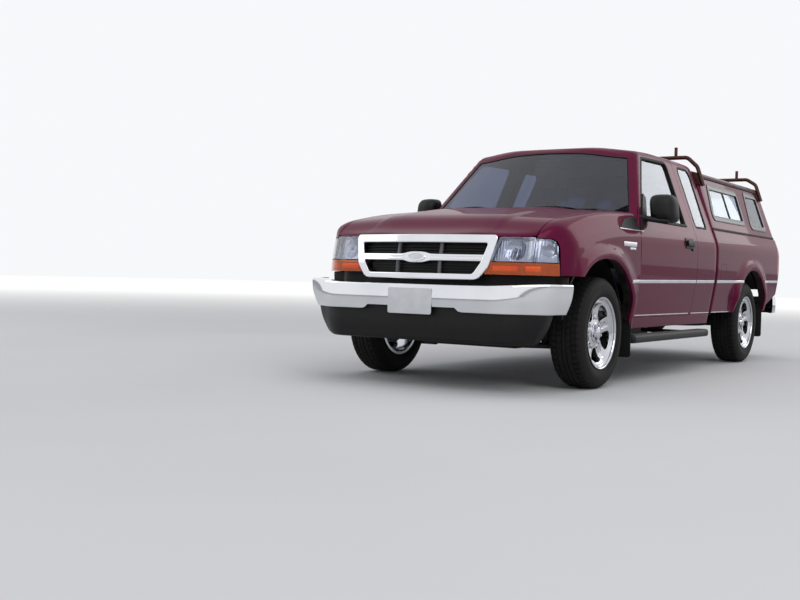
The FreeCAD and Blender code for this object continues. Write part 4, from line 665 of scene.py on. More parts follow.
def material(name, first, second, rough, metal=0.0, scale=6.0, spread=0.05, bump=0.0, bump_scale=300.0,
             sockets=(), transparent=False):
    """Principled material whose colour, roughness and relief vary over the surface."""
    mat = bpy.data.materials.new(name)
    mat.use_nodes = True
    tree = Tree(mat)
    shader, place = tree.nodes["Principled BSDF"], tree.new("TexCoord")
    broad = tree.new("TexNoise", {"Scale": scale, "Detail": 6.0})
    ramp = ramp_between(tree, rgb(*first), rgb(*second))
    ramp.color_ramp.elements[0].position, ramp.color_ramp.elements[1].position = 0.35, 0.65
    spans = tree.new("MapRange", {"To Min": max(rough - spread, 0.0), "To Max": min(rough + spread, 1.0)})
    tree.wire(
        (place, "Object", broad, "Vector"), (broad, "Fac", ramp, "Fac"),
        (ramp, "Color", shader, "Base Color"),
        (broad, "Fac", spans, "Value"), (spans, "Result", shader, "Roughness"),
    )
    shader.inputs["Metallic"].default_value = metal
    for key, value in dict(sockets).items():
        shader.inputs[key].default_value = value
    if bump:
        fine = tree.new("TexNoise", {"Scale": bump_scale, "Detail": 4.0})
        relief = tree.new("Bump", {"Strength": 0.6, "Distance": bump})
        tree.wire((place, "Object", fine, "Vector"), (fine, "Fac", relief, "Height"),
                  (relief, "Normal", shader, "Normal"))
    if transparent:
        bare, mix, path = (tree.new(kind) for kind in ("BsdfTransparent", "MixShader", "LightPath"))
        bare.inputs["Color"].default_value = rgb(*first)
        tree.wire((path, "Is Shadow Ray", mix, "Fac"), (shader, "BSDF", mix, 1), (bare, "BSDF", mix, 2),
                  (mix, "Shader", tree.nodes["Material Output"], "Surface"))
    return mat


def paint_material():
    """Deep maroon metallic paint under a clear coat, with fine flakes."""
    mat = material("maroon_paint", (84, 8, 42), (92, 10, 46), 0.40, 0.25, 2.0, 0.03, sockets={
        "Coat Weight": 0.42, "Coat Roughness": 0.03, "Coat IOR": 1.33, "Specular IOR Level": 0.05,
        "Specular Tint": rgb(166, 64, 118)})
    tree = Tree(mat)
    kinds = {n.bl_idname: n for n in tree.nodes}
    flakes = tree.new("TexVoronoi", {"Scale": 900.0})
    bright = tree.new("MapRange", {"From Min": 0.0, "From Max": 1.0, "To Min": 0.0, "To Max": 0.30})
    mix = tree.new("Mix", data_type="RGBA")
    colours = {s.name: s for s in mix.inputs if s.type == "RGBA"}
    colours["B"].default_value = rgb(130, 34, 92)
    tree.wire(
        (kinds["ShaderNodeTexCoord"], "Object", flakes, "Vector"), (flakes, "Color", bright, "Value"),
        (bright, "Result", mix, "Factor"),
    )
    tree.links.new(kinds["ShaderNodeValToRGB"].outputs["Color"], colours["A"])
    colour_out = [s for s in mix.outputs if s.type == "RGBA"][0]
    tree.links.new(colour_out, tree.nodes["Principled BSDF"].inputs["Base Color"])
    return mat


def clear(weight, ior=1.45):
    return {"Transmission Weight": weight, "IOR": ior}


DULL = {"Specular IOR Level": 0.3}
PAINT = paint_material()
CHROME = material("chrome", (222, 224, 228), (232, 233, 236), 0.06, 1.0, 4.0, 0.025)
MIRRORED = material("lamp_reflector", (150, 154, 172), (164, 167, 182), 0.10, 1.0, 12.0, 0.03)
ALLOY = material("polished_alloy", (196, 197, 202), (210, 211, 216), 0.13, 1.0, 9.0, 0.03)
STEEL = material("dark_steel", (40, 38, 38), (66, 58, 54), 0.62, 0.5, 14.0, 0.12, 0.0004)
CAST = material("cast_metal", (84, 82, 82), (112, 108, 104), 0.58, 0.7, 22.0, 0.1, 0.0005)
RACK = material("rack_metal", (58, 36, 30), (86, 52, 42), 0.46, 0.45, 26.0, 0.14, 0.0003, 260.0)
SATIN = material("bright_strip", (206, 202, 208), (220, 217, 222), 0.24, 0.75, 8.0)
PLASTIC = material("black_plastic", (14, 14, 15), (21, 20, 22), 0.5, 0.0, 20.0, 0.07, 0.00012, 900.0, DULL)
GREY = material("grey_plastic", (84, 83, 88), (96, 95, 100), 0.42, 0.0, 16.0, 0.06, 0.0001)
GLOSS = material("gloss_black", (10, 10, 11), (14, 14, 16), 0.20, 0.0, 9.0, 0.04, sockets=DULL)
RUBBER = material("rubber", (14, 14, 15), (20, 20, 20), 0.66, 0.0, 25.0, 0.08, 0.0001, 700.0, DULL)
TYRE = material("tyre_rubber", (18, 17, 18), (28, 26, 25), 0.74, 0.0, 18.0, 0.1, 0.00015, 600.0, DULL)
TRIM = material("interior_trim", (44, 42, 46), (54, 52, 55), 0.72, 0.0, 30.0, 0.08, 0.0002, 1200.0)
LINING = material("headlining", (120, 116, 114), (134, 130, 127), 0.9, 0.0, 60.0, 0.05, 0.0003, 1500.0)
CLOTH = material("seat_cloth", (72, 68, 72), (96, 91, 94), 0.92, 0.0, 220.0, 0.04, 0.0006, 1400.0,
                 {"Sheen Weight": 0.4, "Sheen Roughness": 0.5})
PLATE = material("blank_plate", (214, 216, 220), (226, 227, 230), 0.36, 0.0, 12.0, 0.06, 0.00008, 240.0)
GLASS = material("window_glass", (168, 182, 200), (176, 188, 205), 0.015, 0.0, 3.0, 0.01,
                 sockets=clear(1.0), transparent=True)
TINT = material("windshield_glass", (112, 116, 140), (120, 124, 146), 0.015, 0.0, 3.0, 0.01,
                sockets=clear(1.0, 1.5), transparent=True)
LENS = material("lamp_lens", (236, 239, 243), (243, 245, 247), 0.02, 0.0, 5.0, 0.01,
                sockets=clear(1.0), transparent=True)
AMBER = material("amber_lens", (255, 138, 34), (250, 124, 24), 0.06, 0.0, 9.0, 0.03,
                 sockets=clear(0.75), transparent=True)
RED = material("red_lens", (176, 12, 14), (190, 16, 16), 0.07, 0.0, 9.0, 0.03, sockets=clear(0.6),
               transparent=True)


# Cab
QUARTER = [(1.784, 1.092, 0.025), (1.816, 1.552, 0.04), (2.090, 1.552, 0.06), (2.041, 1.092, 0.025)]
PILLAR_FACE = 0.055
WALL = 0.030


def windshield_edge(s, lip):
    """The (y, s) pair on the pillar's or header's face, lip inside the body's corner."""
    p, _n = along(cab.section(0.9), fold(s, END))
    return Vector((windshield_y(p.x, p.y) - lip, s))


def inner_section(runs, end, values, inset):
    """A section's (x, z) outline, set in by a wall's thickness."""
    out = []
    for s in values:
        p, n = along(runs, fold(s, end))
        q = p - n * inset
        out.append((q.x if s <= end else -q.x, q.y))
    return out


def build_cab():
    base_s = cab.find("yz", 0.66, 1.030, (0.66, 4.2))[1]
    left = [Vector((y, 0.02)) for y in (CAB_REAR_Y + 0.045, CAB_REAR_Y - 0.06, 1.9, 1.6, 1.3, 1.0, 0.7, 0.553)]
    # The door opening's edge: the sill, the post behind the door, the roof's edge and the pillar
    opening = line([(0.553, 0.426), (1.679, 0.426)], 0.06)
    opening += arc_points(1.679, 0.466, 0.040, -90.0, 0.0, 5)[1:]
    opening += line([(1.719, 0.466), (1.719, 1.536)], 0.04)[1:]
    opening += arc_points(1.659, 1.536, 0.060, 0.0, 90.0, 6)[1:]
    opening += line([(1.659, 1.596), (1.092, 1.596)], 0.04)[1:]
    opening += line([(1.065, 1.5935), (0.560, 1.0334)], 0.03)
    left += cab.trail("yz", [(0.553, 0.426)] + opening[1:], (0.553, 0.3)) + [windshield_edge(base_s, 0.0)]
    lip = lambda s: PILLAR_FACE - 0.018 * smooth(END - 2.4, END, fold(s, END))
    crest = [base_s + 2.0 * (END - base_s) * k / 60 for k in range(61)]
    rear = [(CAB_REAR_Y + 0.045, s) for s in cab.rows(0.02, 2.0 * END - 0.02, 0.08)][::-1]
    outline = left + [windshield_edge(s, lip(s)) for s in crest] + cab.mirrored(left)[::-1] + rear
    hole = cab.outline(QUARTER, 4.2)
    rows = cab.rows(0.02, 2.0 * END, 0.035)
    v_lines = steps(0.40, CAB_REAR_Y - 0.03, 0.045) + [CAB_REAR_Y - 0.03 + 0.01 * k for k in range(7)]
    shell = sheet(cab.at, outline, [hole, cab.mirrored(hole)], v_lines, rows, 0.024, 0.002)
    shell.piece("cab_shell_panel", [PAINT, LINING], "paint", replaces=("cab_shell",))

    # Windshield: glass, its dark border, and the rubber round it
    low, border = 1.104, 0.028
    edge = [cab.at(*windshield_edge(s, lip(s) + 0.003)) for s in crest]
    outline = [Vector((p.x, p.z)) for p in edge if p.z > low]
    outline += [Vector((x, low)) for x in (-0.60, -0.3, 0.0, 0.3, 0.60)]
    glass_at = lambda x, z: Vector((x, windshield_y(x, z) + 0.004, z))
    grid = steps(-0.8, 0.8, 0.05), steps(1.08, 1.62, 0.05)
    sheet(glass_at, outline, (), *grid, 0.005, 0.001).piece("windshield", TINT, "glass",
                                                            replaces=("cab_glass",))
    inner = []
    for p in outline:
        across = -math.copysign(border, p.x) if abs(p.x) > 0.3 else 0.0
        inner.append(p + Vector((across, 0.030 if p.y < 1.36 else -border)))
    sheet(glass_at, outline, [inner], *grid, 0.0015, 0.0003, -0.0054).piece("windshield_border", GLOSS,
                                                                            "black_plastic")
    seal(glass_at, outline, (0.005, -0.008, 0.0025), 0.0015).piece("windshield_rubber", RUBBER, "rubber")

    # Rear wall with its window
    wall = inner_section(cab.section(2.2), END, cab.rows(0.3, 2.0 * END - 0.3, 0.06), WALL)
    back_at = lambda u, v: Vector((-u, CAB_REAR_Y - 0.003, v))
    window = loop(tapered(0.603, 0.510, 1.137, 1.534, 0.05), 0.05)
    sheet(back_at, wall, [window], (), (), 0.020, 0.001, dv=1e-4).piece("cab_rear_wall", [PAINT, LINING],
                                                                        "paint")
    sheet(back_at, window, (), (), (), 0.004, 0.0005, -0.006, 1e-4).piece("rear_window", GLASS, "glass")
    seal(back_at, window, (0.010, -0.012, 0.002)).piece("rear_window_rubber", RUBBER, "rubber")

    # Quarter windows with black edging
    pane = sheet(cab.at, hole, (), steps(1.75, 2.12, 0.04), rows, 0.004, 0.0005, -0.004)
    edging = seal(cab.at, hole, (0.009, -0.012, 0.0015))
    pane.mirror().piece("quarter_windows", GLASS, "glass")
    edging.mirror().piece("quarter_window_rubbers", RUBBER, "rubber")

    # Cowl between hood and windshield
    foot = lambda x: windshield_y(x, 1.115)
    cowl_x = [0.735 - 0.035 * k for k in range(43)]
    ring = [(x, 0.4505) for x in cowl_x] + [(-x, foot(-x) + 0.004) for x in cowl_x]
    cowl_at = lambda u, v: Vector((u, v, 1.096 + 0.022 * (1.0 - (u / 0.75) ** 2) + 0.06 * (v - 0.45)))
    sheet(cowl_at, ring, (), steps(-0.74, 0.74, 0.05), (), 0.006, 0.001, dv=1e-4).piece(
        "cowl_panel", PLASTIC, "black_plastic")
    ribs = Shape()
    for x in (0.040 * k for k in range(-16, 17)):
        y, reach = 0.457 + 0.30 * (foot(x) - 0.4505), 0.55 * (foot(x) - 0.4505)
        z = cowl_at(x, y).z
        ribs.join(brick((x - 0.006, x + 0.006), (y - 0.004, y + reach), (z, z + 0.004), 0.0015))
    ribs.piece("cowl_ribs", PLASTIC, "black_plastic")

    # Wipers: a tapering arm on a pivot, and a blade
    for name, x0, x1, z0, z1 in (
        ("wiper_left", 0.52, 0.02, 1.128, 1.150), ("wiper_right", -0.10, -0.60, 1.128, 1.160),
    ):
        path = []
        for f in (k / 12.0 for k in range(13)):
            x, z = x0 + (x1 - x0) * f, z0 + (z1 - z0) * f + 0.028 * math.sin(math.pi * f)
            path.append(Vector((x, windshield_y(x, z) - 0.018 + 0.008 * f, z)))
        arm = tube(path, lambda i: 0.0065 - 0.0002 * i, 8)
        z = z0 + 0.012 + (z1 - z0) * 0.4
        blade_x = [x0 + (x1 - x0) * k / 10.0 * 1.02 + 0.03 for k in range(11)]
        arm.join(tube([(x, windshield_y(x, z) - 0.008, z) for x in blade_x], 0.0045, 6))
        pivot = [(-0.012, 0.004), (-0.012, 0.016), (0.010, 0.014), (0.014, 0.006)]
        arm.join(lathe(pivot, path[0] - 0.004 * UP, 18, (0, 0.3, 1.0), False))
        arm.piece(name, GLOSS, "black_plastic")


# Doors
DOOR = [(DOOR_FRONT_Y, 0.432, 0.02), (DOOR_FRONT_Y, 1.022, 0.04), (1.068, 1.590, 0.04),
        (DOOR_REAR_Y, 1.590, 0.06),
        (DOOR_REAR_Y, 0.432, 0.04)]
DOOR_WINDOW = [(0.655, 1.092), (1.076, 1.548, 0.045), (1.580, 1.560, 0.045), (1.555, 1.092, 0.02)]
DOOR_LINING = [(0.585, 0.470, 0.03), (0.585, 1.010, 0.03), (0.665, 1.080, 0.03), (1.680, 1.080, 0.03),
               (1.680, 0.470, 0.05)]
MIRROR_FOOT = [(0.566, 1.014, 0.004), (0.610, 1.014, 0.008), (0.730, 1.080, 0.012), (0.860, 1.240, 0.01),
               (0.838, 1.272, 0.008), (0.606, 1.042, 0.01)]
MIRROR_GLASS = [(0.872, 1.096, 0.03), (1.008, 1.100, 0.03), (1.008, 1.236, 0.045), (0.876, 1.232, 0.04)]


def build_doors():
    rows = cab.rows(0.02, END, 0.035)
    hole = cab.outline(DOOR_WINDOW, 4.2)
    skin = sheet(cab.at, cab.outline(DOOR, 0.4), [hole], steps(0.5, 1.75, 0.04), rows, 0.018, 0.002)
    seals = seal(cab.at, hole, (0.010, -0.020, 0.0012))
    sill = cab.trail("yz", line([(0.66, 1.088), (1.56, 1.088)], 0.05), (0.66, 4.5))
    seals.join(bar(cab.at, sill, (0.009, -0.004, 0.006)))
    # Inner trim panel with an armrest
    ring = cab.outline(DOOR_LINING, 0.6)
    lining = sheet(cab.at, ring, (), steps(0.5, 1.75, 0.08), rows, 0.050, 0.004, -0.019)
    lining.join(brick((0.745, 0.812), (0.86, 1.40), (0.800, 0.850), 0.012))
    # Outside handle: a dark paddle in a shallow cup, and the lock
    grip = cab.trail("yz", line([(1.440, 0.958), (1.610, 0.958)], 0.02), (1.43, 3.0))
    handle = bar(cab.at, grip, (0.038, -0.006, 0.003, 0.003))
    handle.join(bar(cab.at, grip[1:-1], (0.022, 0.004, 0.019, 0.007)))
    lock = [(-0.004, 0.003), (-0.004, 0.011), (0.006, 0.010), (0.008, 0.003)]
    handle.join(lathe(lock, (HALF_WIDTH, 1.585, 0.915), 20, closed=False))
    # The mirror: a foot on the door's front corner, an arm and a deep head
    ring = cab.outline(MIRROR_FOOT, 4.1, 0.02)
    foot = sheet(cab.at, ring, (), steps(0.58, 0.88, 0.03), rows, 0.010, 0.004, 0.009)
    housing = foot.join(mirror_arm(), mirror_head())
    # Painted highlight: a bright bar for the lit edge of the seam under the mirror's foot
    strip = cab.trail("yz", [(0.564 + 0.006 * k, 1.005) for k in range(8)], (0.564, 4.05))
    bright = bar(cab.at, strip, (0.005, -0.001, 0.005))
    glass = slab(MIRROR_GLASS, 0.8195, 0.8225, "y", 0.001)
    for side, put in SIDES:
        body = "door_" + side
        put(skin).piece("door_skin_" + side, [PAINT, TRIM], "paint", body, replaces=("door_" + side,))
        put(seals).piece("door_seals_" + side, RUBBER, "rubber", body)
        put(lining).piece("door_trim_" + side, TRIM, "trim", body)
        put(handle).piece("door_handle_" + side, PLASTIC, "black_plastic", body)
        put(housing).piece("mirror_housing_" + side, PLASTIC, "black_plastic", body, 50.0,
                           ("mirror_" + side,))
        put(glass).piece("mirror_glass_" + side, CHROME, "chrome", body)
        put(bright).piece("mirror_seam_highlight_" + side, SATIN, "chrome", body)


def mirror_head():
    """Deep rounded shell, closed in front and set in behind."""
    (centre_x, half_x), (centre_z, half_z), count, verts = (0.932, 0.088), (1.165, 0.096), 48, []
    rings = (
        (0.700, 0.10), (0.702, 0.42), (0.708, 0.64), (0.722, 0.82), (0.745, 0.94), (0.775, 0.99),
        (0.810, 1.0),
        (0.823, 1.0), (0.826, 0.96), (0.826, 0.90), (0.818, 0.88), (0.818, 0.10),
    )
    for y, grow in rings:
        for a in (TAU * k / count for k in range(count)):
            c, s = math.cos(a), math.sin(a)
            power = 2.0 / (3.6 if s > 0.0 else 5.0)
            x = half_x * math.copysign(abs(c) ** power, c) * grow
            z = half_z * math.copysign(abs(s) ** power, s) * grow
            x -= 0.010 * z / half_z
            tip = max(0.018 * x / half_x, -0.004) if y < 0.80 else 0.0
            verts.append((centre_x + x, y + tip + 0.006, centre_z + z))
    return Shape().add(verts, stacked(len(rings), count))


def mirror_arm():
    """Flat arm from the foot, out under the head."""
    verts, stations = [], (
        (0.805, 0.716, 1.100, 0.080), (0.835, 0.728, 1.098, 0.070), (0.870, 0.742, 1.090, 0.060),
        (0.925, 0.762, 1.078, 0.050), (0.985, 0.772, 1.074, 0.046),
    )
    for x, y, z, half in stations:
        near = half - 0.008
        for dy, dz in (
            (-half, -0.006), (-near, -0.013), (near, -0.013), (half, -0.006), (half, 0.010), (near, 0.017),
            (-near, 0.017), (-half, 0.010),
        ):
            verts.append((x, y + dy, z + dz))
    return Shape().add(verts, stacked(len(stations), 8))


# Front clip
HOOD_REAR_Y = 0.446
FENDER_REAR_Y = 0.549
ARCH_LIP = [(0.001, -0.0015), (0.001, -0.024), (0.004, -0.024), (0.004, -0.0015)]
# The fender's outline: down the nose beside the lamp, and the wheel opening's front
FENDER_NOSE = [
    (0.7095, 0.915), (0.7095, 0.904), (0.722, 0.903), (0.735, 0.903), (0.745, 0.903), (0.757, 0.903),
    (0.768, 0.902),
    (0.777, 0.900), (0.785, 0.896), (0.792, 0.890), (0.797, 0.883), (0.801, 0.875), (0.805, 0.866),
    (0.8110, 0.845),
    (0.8140, 0.820), (0.8165, 0.790), (0.8185, 0.760), (0.8205, 0.730), (0.8215, 0.705), (0.822, 0.690),
]
FENDER_ARCH = [
    (-0.400, 0.690), (-0.372, 0.711), (-0.336, 0.737), (-0.296, 0.760), (-0.250, 0.778), (-0.200, 0.791),
    (-0.150, 0.800), (-0.100, 0.8055), (-0.050, 0.8068),
]
# Outline of a dark patch of painted reflection and shade of the door mirror, on the fender's rear top corner
MIRROR_REFLECTION_PATCH = [(0.236, 1.013, 0.004), (0.546, 1.013, 0.004), (0.546, 1.094, 0.006), (0.500, 1.091, 0.01),
                 (0.354, 1.070, 0.012)]


def hood_side_x(y):
    """Half width of the hood: narrower towards the lamps."""
    return 0.722 - 0.021 * (1.0 - smooth(-0.66, -0.36, y))


def on_face(skin, points):
    """The (y, s) pairs of (x, z) points on a skin's front face."""
    out = []
    for x, z in points:
        runs, target = skin.section(skin.front(x, z)), Vector((x, z))
        miss = lambda s: (along(runs, s)[0] - target).length
        best = min((0.05 * k for k in range(int(skin.end * 20.0))), key=miss)
        p = along(runs, best)[0]
        out.append(skin.solve("xz", x, z, (skin.front(p.x, p.y) - miss(best), best))[0])
    return out


def front_lip(s, lip):
    """The (y, s) pair on the nose, lip below the hood's front corner."""
    y = -0.75
    for _ in range(4):
        p, _n = along(hood.section(y), fold(s, hood.end))
        y = hood.front(p.x, p.y)
    return Vector((y - lip, s))


def arch_liner(skin, arch, depth):
    """The dark wall inside a wheel opening."""
    return bar(skin.at, arch, [(0.0045, -0.016), (0.0045, -depth), (0.0075, -depth), (0.0075, -0.016)])


def build_front():
    double = 2.0 * hood.end
    edge = steps(HOOD_REAR_Y, -0.640, 0.035)
    left = [hood.find("xy", 0.722, HOOD_REAR_Y, (HOOD_REAR_Y, 6.1))]
    low = left[0][1]
    left += hood.trail("xy", [(hood_side_x(y), y) for y in edge], (0.44, 6.1))
    first = on_face(hood, [(0.7005, 0.914)])[0][1]
    front = [front_lip(s, 0.010) for s in spread(first, double - first, 44)]
    rear = [(HOOD_REAR_Y, s) for s in hood.rows(low, double - low, 0.08)]
    v_lines = steps(-0.80, HOOD_REAR_Y, 0.03) + [-0.83 + 0.006 * k for k in range(1, 5)]
    outline = left + front + hood.mirrored(left)[::-1] + rear[::-1]
    sheet(hood.at, outline, (), v_lines, hood.rows(low - 0.3, double, 0.03), 0.010, 0.003).piece(
        "hood_panel", [PAINT, PLASTIC], "paint", "hood", replaces=("hood",))

    # Fender: along the hood, down the nose, over the wheel and up the door's front edge
    edge = steps(FENDER_REAR_Y, -0.640, 0.035)
    outline = [clip.find("xy", 0.731, FENDER_REAR_Y, (FENDER_REAR_Y, 6.3))]
    high = outline[0][1]
    outline += clip.trail("xy", [(hood_side_x(y) + 0.009, y) for y in edge], (0.52, 6.1))
    outline += on_face(clip, FENDER_NOSE)
    outline += clip.trail("yz", [(y, 0.690) for y in (-0.55, -0.52, -0.49, -0.46, -0.43)], (-0.55, 2.1))
    wheel = [(p.x - 0.006, p.y + 0.006) for p in arc_points(0.0, TYRE_R, ARCH_R, 90.0, 8.0, 40)]
    arch = clip.trail("yz", FENDER_ARCH + wheel, (-0.400, 2.6))
    tail = clip.trail("yz", [(0.456, 0.385), (0.470, 0.362)], (0.456, 0.3))
    tail += [(0.51, tail[-1][1]), (FENDER_REAR_Y, tail[-1][1])]
    rise = [(FENDER_REAR_Y, s) for s in clip.rows(tail[-1][1] + 0.05, high - 0.02, 0.05)]
    rows = clip.rows(0.0, clip.end, 0.024)
    fender = sheet(clip.at, outline + arch + tail + rise, (), steps(-0.80, FENDER_REAR_Y, 0.022), rows, 0.003,
                   0.0012)
    fender.join(bar(clip.at, arch, ARCH_LIP)).mirror().piece("fender_panels", PAINT, "paint",
                                                             replaces=("fenders",))
    guard = [(0.50, 0.47, 0.03), (0.835, 0.50, 0.05), (0.845, 0.684, 0.01), (0.50, 0.70, 0.01)]
    arch_liner(clip, arch, 0.075).join(slab(guard, -0.512, -0.506, "y", 0.002)).mirror().piece(
        "fender_wheel_liners", STEEL, "black_plastic")
    badges = clip.trail("yz", [(0.245 + 0.02 * k, 0.908) for k in range(12)], (0.25, 3.5))
    small = clip.trail("yz", [(0.350 + 0.02 * k, 0.880) for k in range(6)], (0.35, 3.5))
    badges = bar(clip.at, badges, (0.015, -0.001, 0.004, 0.002))
    badges.join(bar(clip.at, small, (0.007, -0.001, 0.004, 0.002))).mirror().piece("fender_badges", SATIN,
                                                                                   "chrome")
    # Painted reflection and shade of the door mirror: a black patch laid over the body-coloured fender corner
    ring = clip.outline(MIRROR_REFLECTION_PATCH, 4.2, 0.02)
    sheet(clip.at, ring, (), steps(0.2, 0.55, 0.022), rows, 0.003, 0.001, 0.0032).mirror().piece(
        "fender_mirror_reflection_patches", PLASTIC, "black_plastic")
    # Painted highlight: a bright bar for the lit edge of the seam below the corner patch
    strip = clip.trail("yz", [(0.222 + 0.027 * k, 1.005) for k in range(13)], (0.222, 4.2))
    bar(clip.at, strip, (0.0045, -0.001, 0.004, 0.0015)).mirror().piece("fender_seam_highlights", SATIN, "chrome")


def both(half):
    """A left half outline, from its low end up, with its mirror image."""
    return loop(half + [(-x, z, r) for x, z, r in reversed(half)], 0.03)


GRILLE = [(0.392, 0.657, 0.055), (0.452, 0.735, 0.06), (0.490, 0.909, 0.016)]
GRILLE_HOLE = [(0.366, 0.680, 0.035), (0.414, 0.752, 0.05), (0.449, 0.873, 0.018)]
GRILLE_Z = 0.780


def build_grille():
    x_lines, z_lines = steps(-0.5, 0.5, 0.03), steps(0.64, 0.92, 0.03)
    hole = both(GRILLE_HOLE)
    surround = sheet(nose, both(GRILLE), [hole], x_lines, z_lines, 0.030, 0.007, 0.013)
    surround.join(seal(nose, hole, (0.007, -0.02, 0.004, 0.003), 0.004))
    # The bar across, broader round the oval
    half = lambda x: 0.015 + 0.013 * math.exp(-(x / 0.075) ** 4)
    bar_x = sorted([-0.425, 0.425] + steps(-0.41, 0.41, 0.04) + [0.014 * k for k in range(-6, 7)])
    bar_x = [x for i, x in enumerate(bar_x) if i == 0 or x - bar_x[i - 1] > 1e-4]
    upper = [Vector((x, GRILLE_Z + half(x))) for x in bar_x]
    lower = [Vector((p.x, 2.0 * GRILLE_Z - p.y)) for p in upper]
    surround.join(sheet(nose, lower + upper[::-1], (), x_lines, (), 0.026, 0.005, 0.008))
    for z in (0.772, 0.788):
        for span in ((-0.42, -0.095), (0.095, 0.42)):
            surround.join(bar(nose, [(x, z) for x in spread(*span, 8)], (0.003, -0.002, 0.003, 0.001), 0.008))
    surround.piece("grille_surround", CHROME, "chrome", angle=40.0, replaces=("grille",))
    inner = ellipse(0.053, 0.0190, GRILLE_Z, 48)
    sheet(nose, ellipse(0.060, 0.0245, GRILLE_Z, 48), [inner], (), (), 0.010, 0.002, 0.0145).piece(
        "grille_oval_rim", CHROME, "chrome")
    sheet(nose, inner, (), (), (), 0.008, 0.001, 0.0125).piece("grille_oval", SATIN, "chrome")
    # Dark insert: uprights and fine slats in front of a screen
    insert, uprights = sheet(nose, hole, (), x_lines, z_lines, 0.004, 0.0005, -0.040), Shape()
    for x in (-0.150, 0.150):
        for span in ((0.684, 0.764), (0.796, 0.872)):
            uprights.join(bar(nose, [(x, z) for z in spread(*span, 4)], (0.010, -0.014, 0.004, 0.003),
                              -0.012))
    uprights.piece("grille_uprights", GREY, "black_plastic")
    for z in (0.705, 0.722, 0.739, 0.813, 0.830, 0.847):
        reach = 0.365 if z < 0.76 else 0.44
        insert.join(bar(nose, [(x, z) for x in spread(-reach, reach, 16)], (0.002, -0.010, 0.004, 0.001),
                        -0.028))
    insert.piece("grille_insert", PLASTIC, "black_plastic")


def reached(low, high, falls_short):
    """Where, from low to high, a test stops being true."""
    for _ in range(40):
        t = (low + high) / 2.0
        low, high = (t, high) if falls_short(t) else (low, t)
    return low


def lamp_edge(heights):
    """The lamps' outer edge, where the nose's face reaches a fixed y."""
    return [Vector((reached(0.3, 0.88, lambda x: nose_y(x, z) < -0.577), z)) for z in heights]


def lamp_tray(ring, depth, bowls=()):
    """Back and walls of a lamp; bowls are (x, z, radius) of round reflectors."""
    def back(u, v):
        p = nose(u, v)
        y = p.y + depth
        for cx, cz, r in bowls:
            y += 0.022 * max(1.0 - (math.hypot(u - cx, v - cz) / r) ** 2, 0.0)
        return Vector((p.x, y + 0.0022 * abs(math.sin(u * 210.0)), p.z))
    x_lines = steps(min(p.x for p in ring), max(p.x for p in ring), 0.0075)
    tray = sheet(back, ring, (), x_lines, steps(0.68, 0.92, 0.012), 0.004, 0.0005, dv=1e-4)
    return tray.join(seal(nose, ring, [(-0.0015, -0.005), (-0.0015, -depth), (0.0, -depth), (0.0, -0.005)]))


def points(*pairs):
    return [Vector(p) for p in pairs]


def build_lamps():
    x_lines, z_lines = steps(0.4, 0.9, 0.02), steps(0.68, 0.92, 0.02)
    main = loop([(0.455, 0.764, 0.012), (0.7005, 0.764, 0.006), (0.7005, 0.905, 0.006),
                 (0.503, 0.905, 0.014)], 0.02)
    corner = points((0.7065, 0.764), (0.74, 0.764),
                    (0.775, 0.764)) + lamp_edge((0.764, 0.785, 0.805, 0.825, 0.842))
    corner += points((0.797, 0.862), (0.791, 0.877), (0.780, 0.890), (0.765, 0.896), (0.735, 0.897),
                     (0.7065, 0.897))
    amber = points((0.432, 0.688), (0.55, 0.688), (0.68, 0.688), (0.76, 0.688))
    amber += lamp_edge((0.688, 0.71, 0.735, 0.757))
    amber += points((0.76, 0.757), (0.68, 0.757), (0.55, 0.757), (0.450, 0.757))
    lens = sheet(nose, main, (), x_lines, z_lines, 0.003, 0.001)
    lens.join(sheet(nose, corner, (), x_lines, z_lines, 0.003, 0.001))
    lens.mirror().piece("headlamp_lenses", LENS, "lamp", replaces=("headlamps",))
    bulb_x, bulb_z = 0.580, 0.832
    bulb = [(0.0, 0.001), (0.001, 0.009), (0.010, 0.012), (0.030, 0.012), (0.034, 0.004)]
    inside = lamp_tray(main, 0.050, ((bulb_x, bulb_z, 0.062),)).join(
        lamp_tray(corner, 0.030, ((0.755, 0.828, 0.034),)),
        lathe(bulb, (bulb_x, nose_y(bulb_x, bulb_z) + 0.028, bulb_z), 20, (0, 1, 0), False),
    )
    inside.mirror().piece("headlamp_reflectors", MIRRORED, "chrome", angle=25.0)
    sheet(nose, amber, (), x_lines, z_lines, 0.004, 0.0015).mirror().piece(
        "turn_lamp_lenses", AMBER, "amber", replaces=("turn_lamps",))
    lamp_tray(amber, 0.026).mirror().piece("turn_lamp_trays", STEEL, "black_plastic", angle=25.0)
    bars = Shape()
    for span in ((0.475, 0.623), (0.666, 0.742)):
        bars.join(bar(nose, [(x, 0.7225) for x in spread(*span, 6)], (0.0155, -0.006, 0.003, 0.002), -0.012))
    bars.mirror().piece("turn_lamp_reflectors", CHROME, "chrome")
    # Dark panel behind the lamps and above the bumper
    side = [(0.86, 0.70), (0.835, 0.80), (0.775, 0.888), (0.4, 0.905)]
    panel = [(x, 0.60) for x in (-0.86, -0.6, -0.3, 0.0, 0.3, 0.6, 0.86)] + side + [(0.0, 0.905)]
    panel += [(-x, z) for x, z in reversed(side)]
    sheet(nose, panel, (), steps(-0.85, 0.85, 0.06), steps(0.6, 0.92, 0.06), 0.006, 0.001, -0.082).piece(
        "nose_panel", PLASTIC, "black_plastic")


